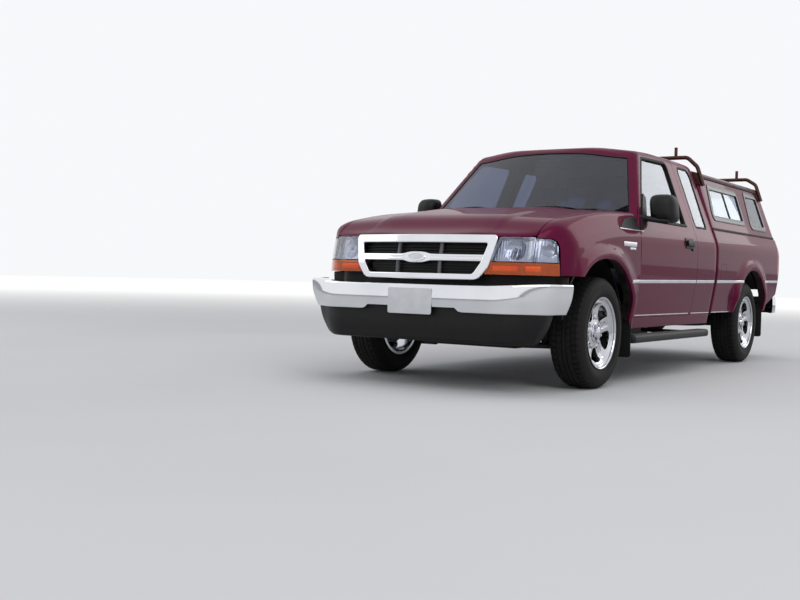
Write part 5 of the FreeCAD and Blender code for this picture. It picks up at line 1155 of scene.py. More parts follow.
def swept(plan, profile, tuck=0.0, rise=0.0, facing=1.0):
    """Surface of (t, w): a vertical profile of (out, z) carried round a half plan and its mirror image.
    Towards the plan's end the profile leans in by tuck at its foot and stands taller by rise at its top.
    It faces forward, or backward with facing at -1. Also gives the highest t and w."""
    plan_runs, profile_runs = trace(plan), trace(profile)
    top = profile[-1][1]

    def at(t, w):
        (p, n), q = along(plan_runs, abs(t)), along(profile_runs, w)[0]
        low = max(0.0, (top - q.y) / (top - profile[0][1]))
        out = facing * (q.x - tuck * smooth(1.2, 4.0, abs(t)) * low ** 1.6)
        x, y = p.x + n.x * out, p.y + n.y * out
        z = q.y + rise * smooth(0.5, 3.4, abs(t)) * (1.0 - low)
        return Vector((x if (t >= 0.0) == (facing > 0.0) else -x, y, z))
    return at, float(len(plan_runs)), float(len(profile_runs))


def sweep_grid(wide, tall, per):
    return [k * 0.1 for k in range(-50, 51) if abs(k * 0.1) < wide], [k / per for k in range(1,
                                                                                             int(tall * per))]


BUMPER_PLAN = [(0.0, -0.8885), (0.600, -0.8885, 0.34), (0.876, -0.735, 0.16), (0.903, -0.562)]
BUMPER_PROFILE = [(-0.050, 0.4650), (-0.006, 0.4610, 0.010), (0.003, 0.535, 0.22), (-0.003, 0.6190, 0.012),
                  (-0.052, 0.6225)]
VALANCE_PLAN = [(0.0, -0.8655), (0.590, -0.8655, 0.28), (0.815, -0.725, 0.10), (0.818, -0.630)]
VALANCE_PROFILE = [(-0.075, 0.284), (-0.018, 0.286, 0.030), (-0.002, 0.380, 0.3), (-0.006, 0.500)]
PLATE_HALF = 0.1524


def build_bumper():
    at, wide, tall = swept(BUMPER_PLAN, BUMPER_PROFILE, 0.045, 0.020)
    runs = trace(BUMPER_PLAN)
    notch_t, foot_t = (reached(0.0, float(len(runs)), lambda t: along(runs, t)[0].x < x) for x in (0.305,
                                                                                                   0.355))
    half = [(notch_t * k / 6.0, 2.45) for k in range(7)]
    foot = points(*((t, 0.05) for t in (foot_t, foot_t + 0.15, 1.0, 1.3, 1.6, 2.0, 2.4, 2.7, 3.0, 3.5, 4.0,
                                        4.5)))
    half += sorted((p for p in foot if p.x >= foot_t), key=lambda p: p.x)
    half += [(wide, 0.05)] + [(wide, w) for w in spread(0.2, tall, 10)]
    half += [(t, tall) for t in (4.5, 4.0, 3.5, 3.0, 2.6, 2.2, 1.8, 1.4, 1.0, 0.7, 0.35)]
    outline = half + [(0.0, tall)] + [(-t, w) for t, w in half if t > 1e-6][::-1]
    sheet(at, outline, (), *sweep_grid(wide, tall, 5.0), 0.004, 0.001).piece(
        "front_bumper_face", CHROME, "chrome", replaces=("front_bumper",))
    at, wide, tall = swept(VALANCE_PLAN, VALANCE_PROFILE, 0.085)
    across = [-wide, -2.0, 0.0, 2.0, wide]
    outline = [(t, 0.05) for t in across] + [(wide, tall - 0.3)] + [(t, tall) for t in across[::-1]]
    sheet(at, outline + [(-wide, tall - 0.3)], (), *sweep_grid(wide, tall, 4.0), 0.005, 0.002).piece(
        "front_valance_panel", PLASTIC, "black_plastic", replaces=("front_valance",))
    plates = Shape()
    for y0, y1, z in ((-0.893, -0.8905, 0.520), (4.2585, 4.261, 0.487)):
        low, high = z - PLATE_HALF / 2.0, z + PLATE_HALF / 2.0
        plates.join(slab(tapered(PLATE_HALF, PLATE_HALF, low, high, 0.012), y0, y1, "y", 0.0006))
    plates.piece("plate_blanks", PLATE, "plate", replaces=("plates",))


# Wheels
TREAD_RIBS = ((-0.074, -0.050), (-0.044, -0.016), (-0.010, 0.010), (0.016, 0.044), (0.050, 0.074))
TREAD_BLOCKS = 54
TREAD_CUTS = (0.0, 0.03, 0.42, 0.45, 0.50, 0.86)


def tyre_shape(centre_x):
    """Left tyre: sidewalls with a ledge, and tread blocks cut by real grooves."""
    wall = [
        (-0.094, 0.212), (-0.0945, 0.226), (-0.099, 0.232), (-0.106, 0.246), (-0.1115, 0.262),
        (-0.1122, 0.276),
        (-0.1105, 0.292), (-0.1075, 0.302), (-0.1068, 0.304), (-0.1035, 0.313), (-0.098, 0.323),
        (-0.092, 0.3305),
        (-0.085, 0.3365), (-0.078, 0.3405),
    ]
    crown = lambda x: 0.3445 - 0.4 * x * x
    ring = list(wall)
    for x0, x1 in TREAD_RIBS:
        ring += [(x0 - 0.0012, 0.3365), (x0, crown(x0)), (x1, crown(x1)), (x1 + 0.0012, 0.3365)]
    ring += [(-x, r) for x, r in reversed(wall)] + [(0.080, 0.2105), (-0.080, 0.2105)]
    verts = []
    for i in range(TREAD_BLOCKS * len(TREAD_CUTS)):
        block, part = divmod(i, len(TREAD_CUTS))
        a = TAU * (block + TREAD_CUTS[part]) / TREAD_BLOCKS
        for x, r in ring:
            drop, angle, top = 0.0, a, r > crown(x) - 0.003
            if r > 0.318:
                # Cuts across the outer rows are deep, those across the rows beside the middle less so
                drop = 0.0075 if part == 4 and abs(x) > 0.047 else 0.0
                drop = 0.006 if part == 2 and 0.012 < abs(x) <= 0.047 else drop
                drop = min(drop, 0.004) if r < 0.338 else drop
                angle = a + 0.030 * math.sin(x * 26.0)
            radius = min(r - drop, TYRE_R - 0.0003) if top else r - drop
            verts.append((centre_x + x, radius * math.sin(angle), TYRE_R + radius * math.cos(angle)))
    shape = Shape().add(verts, wound(TREAD_BLOCKS * len(TREAD_CUTS), len(ring), True))
    for x, r in ((0.1105, 0.290), (0.1060, 0.247)):
        band = [(x - 0.001, r - 0.0015), (x + 0.0012, r - 0.001), (x + 0.0012, r + 0.001),
                (x - 0.001, r + 0.0015)]
        shape.join(lathe(band, (centre_x, 0.0, TYRE_R), 96))
    return shape


RIM = [
    (0.1030, 0.2225), (0.1030, 0.2185), (0.1005, 0.2150), (0.0900, 0.2105), (0.0820, 0.2010),
    (0.0700, 0.1985),
    (-0.0960, 0.1985), (-0.1030, 0.2050), (-0.1030, 0.2225), (-0.0955, 0.2225), (-0.0955, 0.2100),
    (0.0955, 0.2100),
    (0.0955, 0.2225),
]
HUB = [(0.030, 0.001), (0.030, 0.066), (0.062, 0.064), (0.066, 0.058), (0.066, 0.040), (0.080, 0.036),
       (0.084, 0.028),
       (0.085, 0.001)]
NUT = [(0.064, 0.002), (0.064, 0.0105), (0.076, 0.0100), (0.079, 0.006), (0.079, 0.002)]
BOSS = [(0.052, 0.004), (0.052, 0.013), (0.060, 0.012), (0.060, 0.004)]
DISC = [(-0.048, 0.03), (-0.048, 0.140), (-0.030, 0.140), (-0.030, 0.095), (0.026, 0.070), (0.026, 0.03)]


def wheel_shape(centre_x):
    """Left wheel: lipped rim, dished face with five broad spokes, hub and nuts; and its brake disc."""
    centre = Vector((centre_x, 0.0, TYRE_R))
    ray = lambda r, a: (r * math.sin(a), r * math.cos(a))

    def dish(u, v):
        """Face of the wheel: u, v are its own flat coordinates, centred on the hub."""
        r = math.hypot(u, v)
        x = 0.060 + 0.024 * smooth(0.150, 0.202, r) - 0.006 * smooth(0.05, 0.11,
                                                                     r) * (1.0 - smooth(0.12, 0.19, r))
        spoke = abs(((math.atan2(u, v) + math.pi / 5.0) % (TAU / 5.0)) - math.pi / 5.0)
        groove = 1.0 - smooth(0.010, 0.020, spoke * r)
        x -= 0.006 * groove * smooth(0.085, 0.105, r) * (1.0 - smooth(0.165, 0.185, r))
        return Vector((centre_x + x, u, TYRE_R + v))
    windows, hub = [], lathe(HUB, centre, 48, closed=False)
    for a in (TAU * (i + 0.5) / 5.0 for i in range(5)):
        outer = [ray(0.184 - 0.010 * abs(f) ** 4, a + 0.385 * f) for f in spread(-1.0, 1.0, 8)]
        inner = [ray(0.092 + 0.006 * abs(f) ** 4, a + 0.235 * f) for f in spread(1.0, -1.0, 8)]
        windows.append(outer + inner)
        hub.join(lathe(NUT, centre + Vector((0.0,) + ray(0.0495, a)), 6, closed=False))
        for b in (a - 0.42, a + 0.42):
            hub.join(lathe(BOSS, centre + Vector((0.0,) + ray(0.094, b)), 20))
    lines = steps(-0.2, 0.2, 0.0125)
    face = sheet(dish, ellipse(0.1995, 0.1995, 0.0, 80), windows, lines, lines, 0.022, 0.003, dv=1e-4)
    valve = tube([centre + Vector((0.070, 0.0, 0.187)), centre + Vector((0.094, 0.0, 0.180))], 0.004, 8)
    return lathe(RIM, centre, 96).join(face, hub, valve), lathe(DISC, centre, 64)


def build_wheels():
    for place, x, y in (("front_", FRONT_WHEEL_X, 0.0), ("rear_", REAR_WHEEL_X, WHEELBASE)):
        tyre, (wheel, disc) = tyre_shape(x).shifted(y), (shape.shifted(y) for shape in wheel_shape(x))
        for side, put in SIDES:
            end = place + side
            body = "wheel_" + end
            put(tyre).piece("tyre_rubber_" + end, TYRE, "tyre", body, 30.0, ("tyre_" + end,))
            put(wheel).piece("alloy_wheel_" + end, ALLOY, "alloy", body, 30.0, ("wheel_" + end,))
            put(disc).piece("brake_disc_" + end, CAST, "cast", body, 30.0)


# Load bed
BED_LOW = [(3.645, 0.437), (3.70, 0.452), (3.80, 0.487), (3.90, 0.521), (4.0, 0.556), (4.088, 0.588)]
LAMP_FRONT_Y = 4.03
REAR_BUMPER_PLAN = [(0.0, 4.2565), (0.605, 4.2565, 0.20), (0.842, 4.165, 0.04), (0.842, 4.042)]
REAR_BUMPER_PROFILE = [(-0.045, 0.414), (-0.004, 0.411, 0.012), (0.0, 0.480, 0.2), (-0.003, 0.563, 0.010),
                       (-0.060, 0.5645)]


def flap_ring(grow, r, step=0.02):
    """The fuel door's square outline, grown on all sides."""
    return bed.outline(rect((2.314 - grow, 2.446 + grow), (0.696 - grow, 0.828 + grow), r), 1.5, step)


def build_bed():
    rows, head = bed.rows(0.0, bed.end, 0.032), bed.end - 0.02
    front, rear = BED_FRONT_Y - 0.035, BED_REAR_Y + 0.048
    wheel = arc_points(WHEELBASE, TYRE_R, ARCH_R, 168.0, 11.0, 60)
    arch = bed.trail("yz", wheel, (2.75, 0.3))
    low = bed.trail("yz", BED_LOW, (3.645, 0.03))
    lamp_low = bed.find("yz", LAMP_FRONT_Y, 0.760, (LAMP_FRONT_Y, 2.0))[1]
    lamp_high = bed.find("yz", LAMP_FRONT_Y, 1.000, (LAMP_FRONT_Y, 3.5))[1]
    outline = [(front, 0.03), (2.5, 0.03)] + arch + low + [(rear, s) for s in bed.rows(low[-1][1], lamp_low,
                                                                                       0.05)]
    outline += [(rear, lamp_low), (LAMP_FRONT_Y, lamp_low), (LAMP_FRONT_Y, lamp_high), (rear, lamp_high)]
    outline += [(rear, s) for s in bed.rows(lamp_high, head, 0.05)]
    outline += [(rear - 0.02, head), (3.2, head), (front + 0.02, head)]
    outline += [(front, s) for s in bed.rows(0.03, head, 0.05)][::-1]
    v_lines = steps(BED_FRONT_Y - 0.02, BED_REAR_Y + 0.02, 0.030)
    lip = bar(bed.at, arch, ARCH_LIP)
    plain = sheet(bed.at, outline, (), v_lines, rows, 0.003, 0.0012)
    left = sheet(bed.at, outline, [flap_ring(0.0035, 0.014)], v_lines, rows, 0.003, 0.0012)
    post = brick((0.7225, 0.828), (4.004, 4.0985), (0.640, 1.0915), 0.006)
    left.join(lip, plain.flipped(), lip.flipped(), post, post.flipped())
    left.piece("bed_side_panels", PAINT, "paint", replaces=("bed_sides",))
    arch_liner(bed, arch, 0.066).mirror().piece("bed_wheel_liners", STEEL, "black_plastic")
    cup = sheet(bed.at, flap_ring(0.014, 0.01, 0.03), (), steps(2.3, 2.46, 0.04), rows, 0.003, 0.0005, -0.022)
    cap = [(0.0, 0.002), (0.0, 0.028), (0.012, 0.026), (0.012, 0.002)]
    cup.join(lathe(cap, (0.846, 2.380, 0.762), 24, closed=False)).piece("fuel_pocket", PLASTIC,
                                                                        "black_plastic")
    sheet(bed.at, flap_ring(0.0, 0.012), (), steps(2.3, 2.46, 0.02), rows, 0.004, 0.0012).piece(
        "fuel_door_panel", PAINT, "paint", "fuel_door", replaces=("fuel_door",))

    # Tail lamps wrap the rear corner
    near = LAMP_FRONT_Y + 0.002
    lamp_y = (near, 4.06, 4.09, 4.12, 4.195)
    lamp_s = bed.rows(lamp_low + 0.05, lamp_high - 0.03, 0.06)
    lamp = [(y, lamp_low + 0.02) for y in lamp_y] + [(4.195, s) for s in lamp_s]
    lamp += [(y, lamp_high - 0.02) for y in lamp_y[::-1]] + [(near, s) for s in lamp_s[::-1]]
    sheet(bed.at, lamp, (), steps(4.0, 4.2, 0.008), rows, 0.010, 0.003, 0.001).mirror().piece(
        "tail_lamp_lenses", RED, "red_lamp", replaces=("tail_lamps",))

    # Tailgate, with a field set in
    def gate(u, v):
        inside = smooth(0.0, 0.012, 0.62 - abs(u)) * smooth(0.0, 0.012, min(v - 0.700, 1.020 - v))
        return Vector((-u, BED_REAR_Y - 0.001 - 0.007 * inside, v))
    fine = [0.003 * k for k in range(5)]
    x_lines = sorted(steps(-0.7, 0.7, 0.1) + [s * (0.608 + k) for s in (-1, 1) for k in fine])
    z_lines = sorted(steps(0.66, 1.06, 0.05) + [0.700 + k for k in fine] + [1.008 + k for k in fine])
    ring = loop(tapered(0.714, 0.714, 0.646, 1.071, 0.012, 0.02), 0.05)
    sheet(gate, ring, (), x_lines, z_lines, 0.040, 0.004, dv=1e-4).piece(
        "tailgate_panel", PAINT, "paint", "tailgate", replaces=("tailgate",))
    latch = slab(tapered(0.105, 0.105, 0.962, 1.040, 0.014), BED_REAR_Y - 0.012, BED_REAR_Y - 0.002, "y",
                 0.003)
    grip = slab(tapered(0.080, 0.080, 0.985, 1.020, 0.012), BED_REAR_Y - 0.004, BED_REAR_Y + 0.012, "y",
                0.004)
    latch.join(grip).piece("tailgate_handle", PLASTIC, "black_plastic", "tailgate")

    # Rear bumper: bright step with a dark tread pad
    at, wide, tall = swept(REAR_BUMPER_PLAN, REAR_BUMPER_PROFILE, facing=-1.0)
    ring = [(-wide, 0.05)] + [(t, 0.05) for t in steps(-wide, wide, 0.25)]
    ring += [(wide, 0.05), (wide, tall / 2.0), (wide, tall)] + [(t, tall) for t in steps(wide, -wide, 0.25)]
    ring += [(-wide, tall), (-wide, tall / 2.0)]
    sheet(at, ring, (), *sweep_grid(wide, tall, 4.0), 0.004, 0.001).piece(
        "rear_bumper_face", CHROME, "chrome", replaces=("rear_bumper",))
    pad = slab(tapered(0.60, 0.60, 4.110, 4.205, 0.02, 0.03), 0.5600, 0.5648, "z", 0.002)
    step = [(-0.835, 4.045, 0.01), (0.835, 4.045, 0.01), (0.835, 4.150, 0.03), (0.60, 4.225, 0.08),
            (-0.60, 4.225, 0.08), (-0.835, 4.150, 0.03)]
    pad.join(slab(step, 0.545, 0.5605, "z", 0.002))
    for x in (-0.370, 0.370):
        pad.join(brick((x - 0.035, x + 0.035), (4.03, 4.225), (0.485, 0.546), 0.005))
    pad.piece("rear_bumper_pad", PLASTIC, "black_plastic")


# Canopy
CANOPY_WINDOWS = [
    [(2.340, 1.195, 0.03), (2.448, 1.457, 0.03), (3.242, 1.457, 0.03), (3.213, 1.195, 0.03)],
    [(3.412, 1.175, 0.03), (3.507, 1.475, 0.03), (3.873, 1.475, 0.03), (3.870, 1.175, 0.03)],
]


def build_canopy():
    double = 2.0 * canopy.end
    front, rear = BED_FRONT_Y - 0.025, BED_REAR_Y + 0.015
    across = canopy.rows(0.01, double - 0.01, 0.06)
    outline = [(front, 0.0), (3.0, 0.0), (rear, 0.0)] + [(rear, s) for s in across]
    outline += [(rear, double), (3.0, double), (front, double)] + [(front, s) for s in across[::-1]]
    holes = [canopy.outline(w, 0.3) for w in CANOPY_WINDOWS]
    v_lines = [BED_FRONT_Y + 0.006 * k for k in range(-3, 9)] + steps(2.28, 4.02, 0.06)
    v_lines = sorted(v_lines + [4.02 + 0.008 * k for k in range(11)])
    rows = canopy.rows(0.0, double, 0.035)
    sheet(canopy.at, outline, holes + [canopy.mirrored(h) for h in holes], v_lines, rows, 0.018, 0.003).piece(
        "canopy_panel", [PAINT, LINING], "paint", replaces=("canopy_shell",))
    frames, panes = Shape(), Shape()
    for h in holes:
        frames.join(seal(canopy.at, h, (0.024, -0.020, 0.005, 0.003)))
        panes.join(sheet(canopy.at, h, (), steps(2.3, 3.9, 0.1), (), 0.004, 0.0004, -0.005))
    middle = canopy.trail("yz", [(2.835, 1.20 + 0.0285 * k) for k in range(10)], (2.835, 0.3))
    frames.join(bar(canopy.at, middle, (0.010, -0.016, 0.001)))
    frames.mirror().piece("canopy_window_frames", GLOSS, "black_metal")
    bands = Shape()
    for z, guess_s, section, y0, y1 in (
        (1.527, 0.8, (0.011, -0.002, 0.007), 2.262, 4.040),
        (1.106, 0.05, (0.008, -0.004, 0.004), 2.245, 4.075),
    ):
        pairs = canopy.trail("yz", [(y, z) for y in spread(y0, y1, 40)], (y0, guess_s))
        bands.join(bar(canopy.at, pairs, section))
    bands.mirror().piece("canopy_bands", RUBBER, "rubber")

    # Front wall, with its window, and the hatch in the rear wall
    front_at = lambda u, v: Vector((u, BED_FRONT_Y + 0.006 + lean(v, 0.024), v))
    rear_at = lambda u, v: Vector((-u, 4.096 - lean(v, 0.040), v))
    section_s = [0.002] + canopy.rows(0.02, double - 0.02, 0.06) + [double - 0.002]
    section = inner_section(CANOPY_RUNS, canopy.end, section_s, 0.018)
    window = loop(tapered(0.560, 0.500, 1.190, 1.490, 0.04), 0.05)
    opening = loop(tapered(0.688, 0.566, 1.105, 1.546, 0.03, 0.04), 0.05)
    walls = sheet(front_at, section, [window], (), (), 0.015, 0.001, dv=1e-4)
    walls.join(sheet(rear_at, section, [opening], (), (), 0.015, 0.001, dv=1e-4))
    walls.piece("canopy_walls", [PAINT, LINING], "paint")
    panes.mirror().join(sheet(front_at, window, (), (), (), 0.004, 0.0004, -0.005, 1e-4))
    panes.piece("canopy_panes", GLASS, "glass", replaces=("canopy_glass",))
    rim = loop(tapered(0.682, 0.560, 1.111, 1.540, 0.03, 0.04), 0.05)
    hole = loop(tapered(0.618, 0.520, 1.162, 1.492, 0.03), 0.05)
    sheet(rear_at, rim, [hole], (), (), 0.020, 0.004, 0.001, 1e-4).piece(
        "hatch_frame", GLOSS, "black_metal", "hatch", replaces=("hatch",))
    sheet(rear_at, hole, (), (), (), 0.005, 0.0005, -0.004, 1e-4).piece("hatch_pane", GLASS, "glass", "hatch")
    slab(tapered(0.045, 0.045, 1.122, 1.152, 0.012), 4.088, 4.0995, "y", 0.004).piece(
        "hatch_handle", CHROME, "chrome", "hatch")


# Trim along the sides, and the painted highlight along the lower crease
def strip(skin, y0, y1):
    """Bright strip along the body's side, rising a little to the rear."""
    ys = spread(y0, y1, max(2, math.ceil((y1 - y0) / 0.05)))
    pairs = skin.trail("yz", [(y, 0.668 + 0.010 * (y - 0.3)) for y in ys], (y0, 1.5))
    return bar(skin.at, pairs, (0.0115, -0.001, 0.0055, 0.003))


def painted_crease_highlight(skin, y0, y1):
    """Painted highlight: a thin bright bar standing in for the light caught along the body's lower crease."""
    pairs = skin.trail("yz", [(y, 0.4445) for y in spread(y0, y1, 20)], (y0, 0.4))
    return bar(skin.at, pairs, (0.0035, -0.001, 0.0025, 0.001))


def build_trim():
    strips = strip(clip, 0.350, 0.545).join(strip(cab, 1.722, 2.184), strip(bed, 2.224, 2.868),
                                            strip(bed, 3.520, 4.060))
    painted_crease_highlights = painted_crease_highlight(cab, 1.724, 2.182).join(painted_crease_highlight(bed, 2.226, 2.700))
    for name, shape, door_name, door in (
        ("side_strips", strips, "door_strip_", strip(cab, 0.561, 1.707)),
        # Painted highlight of the lower crease, on the body and on each door
        ("crease_highlight_bars", painted_crease_highlights, "door_crease_highlight_", painted_crease_highlight(cab, 0.566, 1.660)),
    ):
        shape.mirror().piece(name, SATIN, "chrome")
        for side, put in SIDES:
            put(door).piece(door_name + side, SATIN, "chrome", "door_" + side)
    # Step bars: dark boards on brackets
    plan = [(0.762, 0.495, 0.02), (0.866, 0.500, 0.03), (0.866, 2.090, 0.05), (0.762, 2.095, 0.03)]
    board = slab(plan, 0.262, 0.317, "z", 0.018)
    for x in (0.785 + 0.0145 * k for k in range(5)):
        board.join(brick((x, x + 0.006), (0.56, 2.03), (0.314, 0.3185), 0.0015))
    for y in ((0.680, 0.720), (1.830, 1.870)):
        board.join(brick((0.405, 0.775), y, (0.281, 0.309), 0.004),
                   brick((0.402, 0.420), y, (0.281, 0.418), 0.004))
    board.mirror().piece("step_boards", PLASTIC, "black_plastic", replaces=("step_bars",))
    # Mud flaps with a bolt row
    flaps = Shape()
    bolt = [(-0.008, 0.001), (-0.008, 0.007), (-0.003, 0.010), (0.002, 0.010), (0.002, 0.001)]
    for y, low, high, x0, x1 in ((0.4667, 0.172, 0.488, 0.617, 0.850), (3.643, 0.207, 0.498, 0.617, 0.846)):
        form = [(x0, low, 0.02), (x1, low, 0.02), (x1, high, 0.006), (x0, high, 0.006)]
        flaps.join(slab(form, y - 0.003, y + 0.003, "y", 0.001))
        for x in spread(x0 + 0.03, x1 - 0.03, 2):
            flaps.join(lathe(bolt, (x, y, high - 0.02), 12, (0, 1, 0), False))
    flaps.mirror().piece("mud_flap_sheets", RUBBER, "rubber", replaces=("mud_flaps",))


# Inside
LAST_FRAME = 14
SEAT_FLOOR_Z = 0.520


def soft_block(name, shape, voxel=0.014, cap=0.012, seams=()):
    """A padded form: the shape is remeshed, blown up as cloth by at most cap, and sewn along its seams."""
    ob = shape.piece(name, CLOTH, "cloth")
    bpy.context.view_layer.objects.active = ob
    remesh = ob.modifiers.new("remesh", "REMESH")
    remesh.mode, remesh.voxel_size = "VOXEL", voxel
    dense = bpy.data.meshes.new_from_object(ob.evaluated_get(bpy.context.evaluated_depsgraph_get()))
    ob.modifiers.clear()
    ob.data = dense
    dense.materials.clear()
    dense.materials.append(CLOTH)
    rest = [v.co.copy() for v in dense.vertices]
    cloth = ob.modifiers.new("cloth", "CLOTH")
    cloth.settings.use_pressure = True
    cloth.settings.uniform_pressure_force = 3.0
    cloth.settings.quality = 5
    cloth.settings.effector_weights.gravity = 0.0
    cloth.point_cache.frame_start, cloth.point_cache.frame_end = 1, LAST_FRAME
    for f in range(1, LAST_FRAME + 1):
        scene.frame_set(f)
    blown = ob.evaluated_get(bpy.context.evaluated_depsgraph_get()).data
    moved = [v.co.copy() for v in blown.vertices]
    ob.modifiers.clear()
    scene.frame_set(1)
    for v, a, b in zip(dense.vertices, rest, moved):
        d = b - a
        v.co = a + (d * (cap / d.length) if d.length > cap else d)
    for v in dense.vertices:
        for place, axis, width, depth in seams:
            gap = abs(v.co[axis] - place)
            if gap < width:
                v.co -= v.normal * depth * (1.0 - smooth(0.0, width, gap))
    for p in dense.polygons:
        p.use_smooth = True
    sub = ob.modifiers.new("smooth", "SUBSURF")
    sub.levels = sub.render_levels = 1
    return ob


def seat_form(corners, low, high, edge):
    """Seat slab from corners given from the door's rear edge and the seat's floor."""
    return slab([(DOOR_REAR_Y + y, SEAT_FLOOR_Z + z, r) for y, z, r in corners], low, high, "x", edge)


CUSHION = [(-0.523, 0.020, 0.05), (-0.075, 0.020, 0.05), (-0.075, 0.205, 0.06), (-0.523, 0.230, 0.07)]
SEAT_BACK = [(-0.060, 0.150, 0.04), (0.045, 0.150, 0.04), (0.178, 0.755, 0.04), (0.082, 0.755, 0.05)]
HEAD_REST = [(0.108, 0.790, 0.03), (0.183, 0.790, 0.03), (0.202, 0.912, 0.035), (0.128, 0.912, 0.035)]


def build_inside():
    y, z = DOOR_REAR_Y, SEAT_FLOOR_Z
    for side, low, high in (("left", 0.172, 0.598), ("right", -0.598, -0.172)):
        mid = (low + high) / 2.0
        long_seams = ((low + 0.085, 0, 0.012, 0.010), (high - 0.085, 0, 0.012, 0.010))
        cushion = seat_form(CUSHION, low, high, 0.035)
        seams = long_seams + ((y - 0.30 + AXLE_Y, 1, 0.010, 0.008),)
        soft_block("seat_cushion_" + side, cushion, seams=seams)
        seams = long_seams + ((z + 0.45, 2, 0.010, 0.008),)
        back = soft_block("seat_back_" + side, seat_form(SEAT_BACK, low, high, 0.035), seams=seams)
        if side == "left":
            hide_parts("seats")
        head = seat_form(HEAD_REST, mid - 0.115, mid + 0.115, 0.025)
        soft_block("head_rest_" + side, head, voxel=0.010, cap=0.006)
        posts = Shape()
        for x in (mid - 0.05, mid + 0.05):
            posts.join(tube([(x, y + 0.135, z + 0.73), (x, y + 0.145, z + 0.81)], 0.006, 10))
        posts.join(brick((low + 0.03, high - 0.03), (y - 0.50, y - 0.09), (z + 0.0005, z + 0.03), 0.008))
        posts.piece("seat_frame_" + side, STEEL, "steel")
    y = windshield_y(0.0, 1.50) + 0.055
    mirror = slab(tapered(0.115, 0.110, 1.475, 1.530, 0.02), y, y + 0.022, "y", 0.006)
    mirror.join(tube([(0.0, y + 0.005, 1.52), (0.0, windshield_y(0.0, 1.555) + 0.014, 1.555)], 0.006, 10))
    mirror.piece("inside_mirror", PLASTIC, "black_plastic")


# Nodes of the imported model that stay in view
KEPT = {
    "dashboard": TRIM, "steering_wheel": PLASTIC, "cab_floor": TRIM, "inner_fenders": PLASTIC, "frame": STEEL,
    "powertrain": CAST, "radiator": STEEL, "exhaust": CAST, "fuel_tank": STEEL, "spare_wheel": TYRE,
    "front_suspension": STEEL, "rear_axle": STEEL, "knuckle_left": CAST, "knuckle_right": CAST,
    "bed_floor": PLASTIC,
    "door_glass_left": GLASS, "door_glass_right": GLASS, "rack": RACK,
}


def dress_nodes():
    for name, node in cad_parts.items():
        if name in KEPT or not node.hide_render:
            node.data.materials.clear()
            node.data.materials.append(KEPT.get(name, PAINT))


# Stage
LAMPS = (
    ("key", (6.5, -8.0, 7.5), (0.0, -1.0, 0.8), 7.0, 330.0),
    ("fill", (-8.0, -4.5, 5.0), (0.0, -0.5, 0.8), 6.0, 110.0),
    ("rear", (4.5, 8.5, 5.5), (0.0, 1.0, 0.9), 6.0, 170.0),
    ("top", (0.0, 0.0, 9.0), (0.0, 0.0, 0.0), 8.0, 190.0),
)


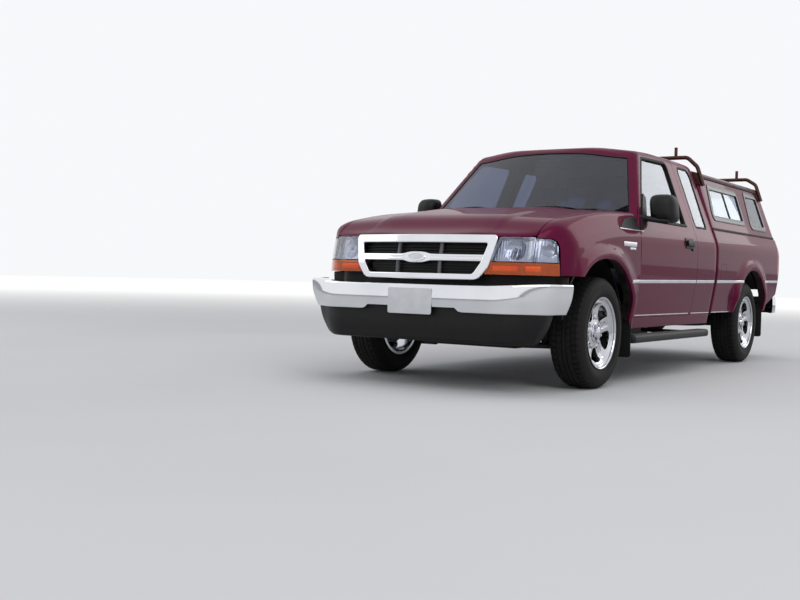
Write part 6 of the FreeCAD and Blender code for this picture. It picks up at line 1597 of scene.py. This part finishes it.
def build_stage():
    bpy.ops.mesh.primitive_plane_add(size=120.0, location=(0.0, 0.0, -0.0006))
    floor = bpy.context.object
    floor.name = "floor"
    mat = bpy.data.materials.new("floor")
    mat.use_nodes = True
    tree = Tree(mat)
    shader = tree.nodes["Principled BSDF"]
    shader.inputs["Roughness"].default_value = 0.85
    place, patches = tree.new("TexCoord"), tree.new("TexNoise", {"Scale": 0.6})
    ramp = ramp_between(tree, (0.70, 0.70, 0.71, 1.0), (0.76, 0.76, 0.76, 1.0))
    # Far from the object the floor fades to white, for the rays that see the background
    length = tree.new("VectorMath", operation="LENGTH")
    spans = tree.new("MapRange", {"From Min": 5.0, "From Max": 26.0})
    white, mix = tree.new("Emission", {"Color": (1.0, 1.0, 1.0, 1.0)}), tree.new("MixShader")
    path, seen = tree.new("LightPath"), tree.new("Math", operation="MAXIMUM")
    product = tree.new("Math", operation="MULTIPLY")
    tree.wire(
        (place, "Object", patches, "Vector"), (patches, "Fac", ramp, "Fac"),
        (ramp, "Color", shader, "Base Color"),
        (place, "Object", length, 0), (length, "Value", spans, "Value"), (path, "Is Camera Ray", seen, 0),
        (path, "Is Transmission Ray", seen, 1), (seen, "Value", product, 0), (spans, "Result", product, 1),
        (product, "Value", mix, "Fac"), (shader, "BSDF", mix, 1), (white, "Emission", mix, 2),
        (mix, "Shader", tree.nodes["Material Output"], "Surface"),
    )
    floor.data.materials.append(mat)

    world = bpy.data.worlds.new("studio")
    world.use_nodes = True
    scene.world = world
    tree = Tree(world)
    lit, mix, path = tree.nodes["Background"], tree.new("MixShader"), tree.new("LightPath")
    lit.inputs["Color"].default_value = (0.86, 0.89, 0.95, 1.0)
    lit.inputs["Strength"].default_value = 0.42
    pale = tree.new("Background", {"Color": (0.93, 0.94, 0.96, 1.0), "Strength": 1.0})
    first, both_rays = tree.new("Math", operation="MAXIMUM"), tree.new("Math", operation="MAXIMUM")
    tree.wire(
        (path, "Is Camera Ray", first, 0), (path, "Is Transmission Ray", first, 1),
        (first, "Value", both_rays, 0),
        (path, "Is Glossy Ray", both_rays, 1), (both_rays, "Value", mix, "Fac"), (lit, "Background", mix, 1),
        (pale, "Background", mix, 2), (mix, "Shader", tree.nodes["World Output"], "Surface"),
    )

    for name, place, aim, size, power in LAMPS:
        data = bpy.data.lights.new(name, "AREA")
        data.shape, data.size, data.energy = "SQUARE", size, power
        ob = bpy.data.objects.new(name, data)
        scene.collection.objects.link(ob)
        ob.visible_glossy = name != "top"
        ob.location = place
        ob.rotation_mode = "QUATERNION"
        ob.rotation_quaternion = (Vector(aim) - Vector(place)).to_track_quat("-Z", "Y")
    scene.view_settings.view_transform = "Standard"


def build_camera():
    """The photograph's view: its place, heading, tilt and roll."""
    yaw, pitch, roll = 0.583, -0.022, 0.027
    f = Vector((-math.sin(yaw) * math.cos(pitch), math.cos(yaw) * math.cos(pitch), math.sin(pitch)))
    r = f.cross(UP).normalized()
    u = r.cross(f)
    right = r * math.cos(roll) + u * math.sin(roll)
    above = u * math.cos(roll) - r * math.sin(roll)
    data = bpy.data.cameras.new("camera")
    data.sensor_width, data.lens, data.clip_end = 36.0, 48.155, 300.0
    ob = bpy.data.objects.new("camera", data)
    scene.collection.objects.link(ob)
    turn = Matrix((right, above, -f)).transposed().to_4x4()
    ob.matrix_world = Matrix.Translation(Vector((3.431, -7.877, 0.661))) @ turn
    scene.camera = ob


for build in (
    build_camera, build_stage, build_cab, build_doors, build_front, build_grille, build_lamps, build_bumper,
    build_wheels, build_bed, build_canopy, build_trim, build_inside, dress_nodes,
):
    build()

bpy.context.view_layer.update()
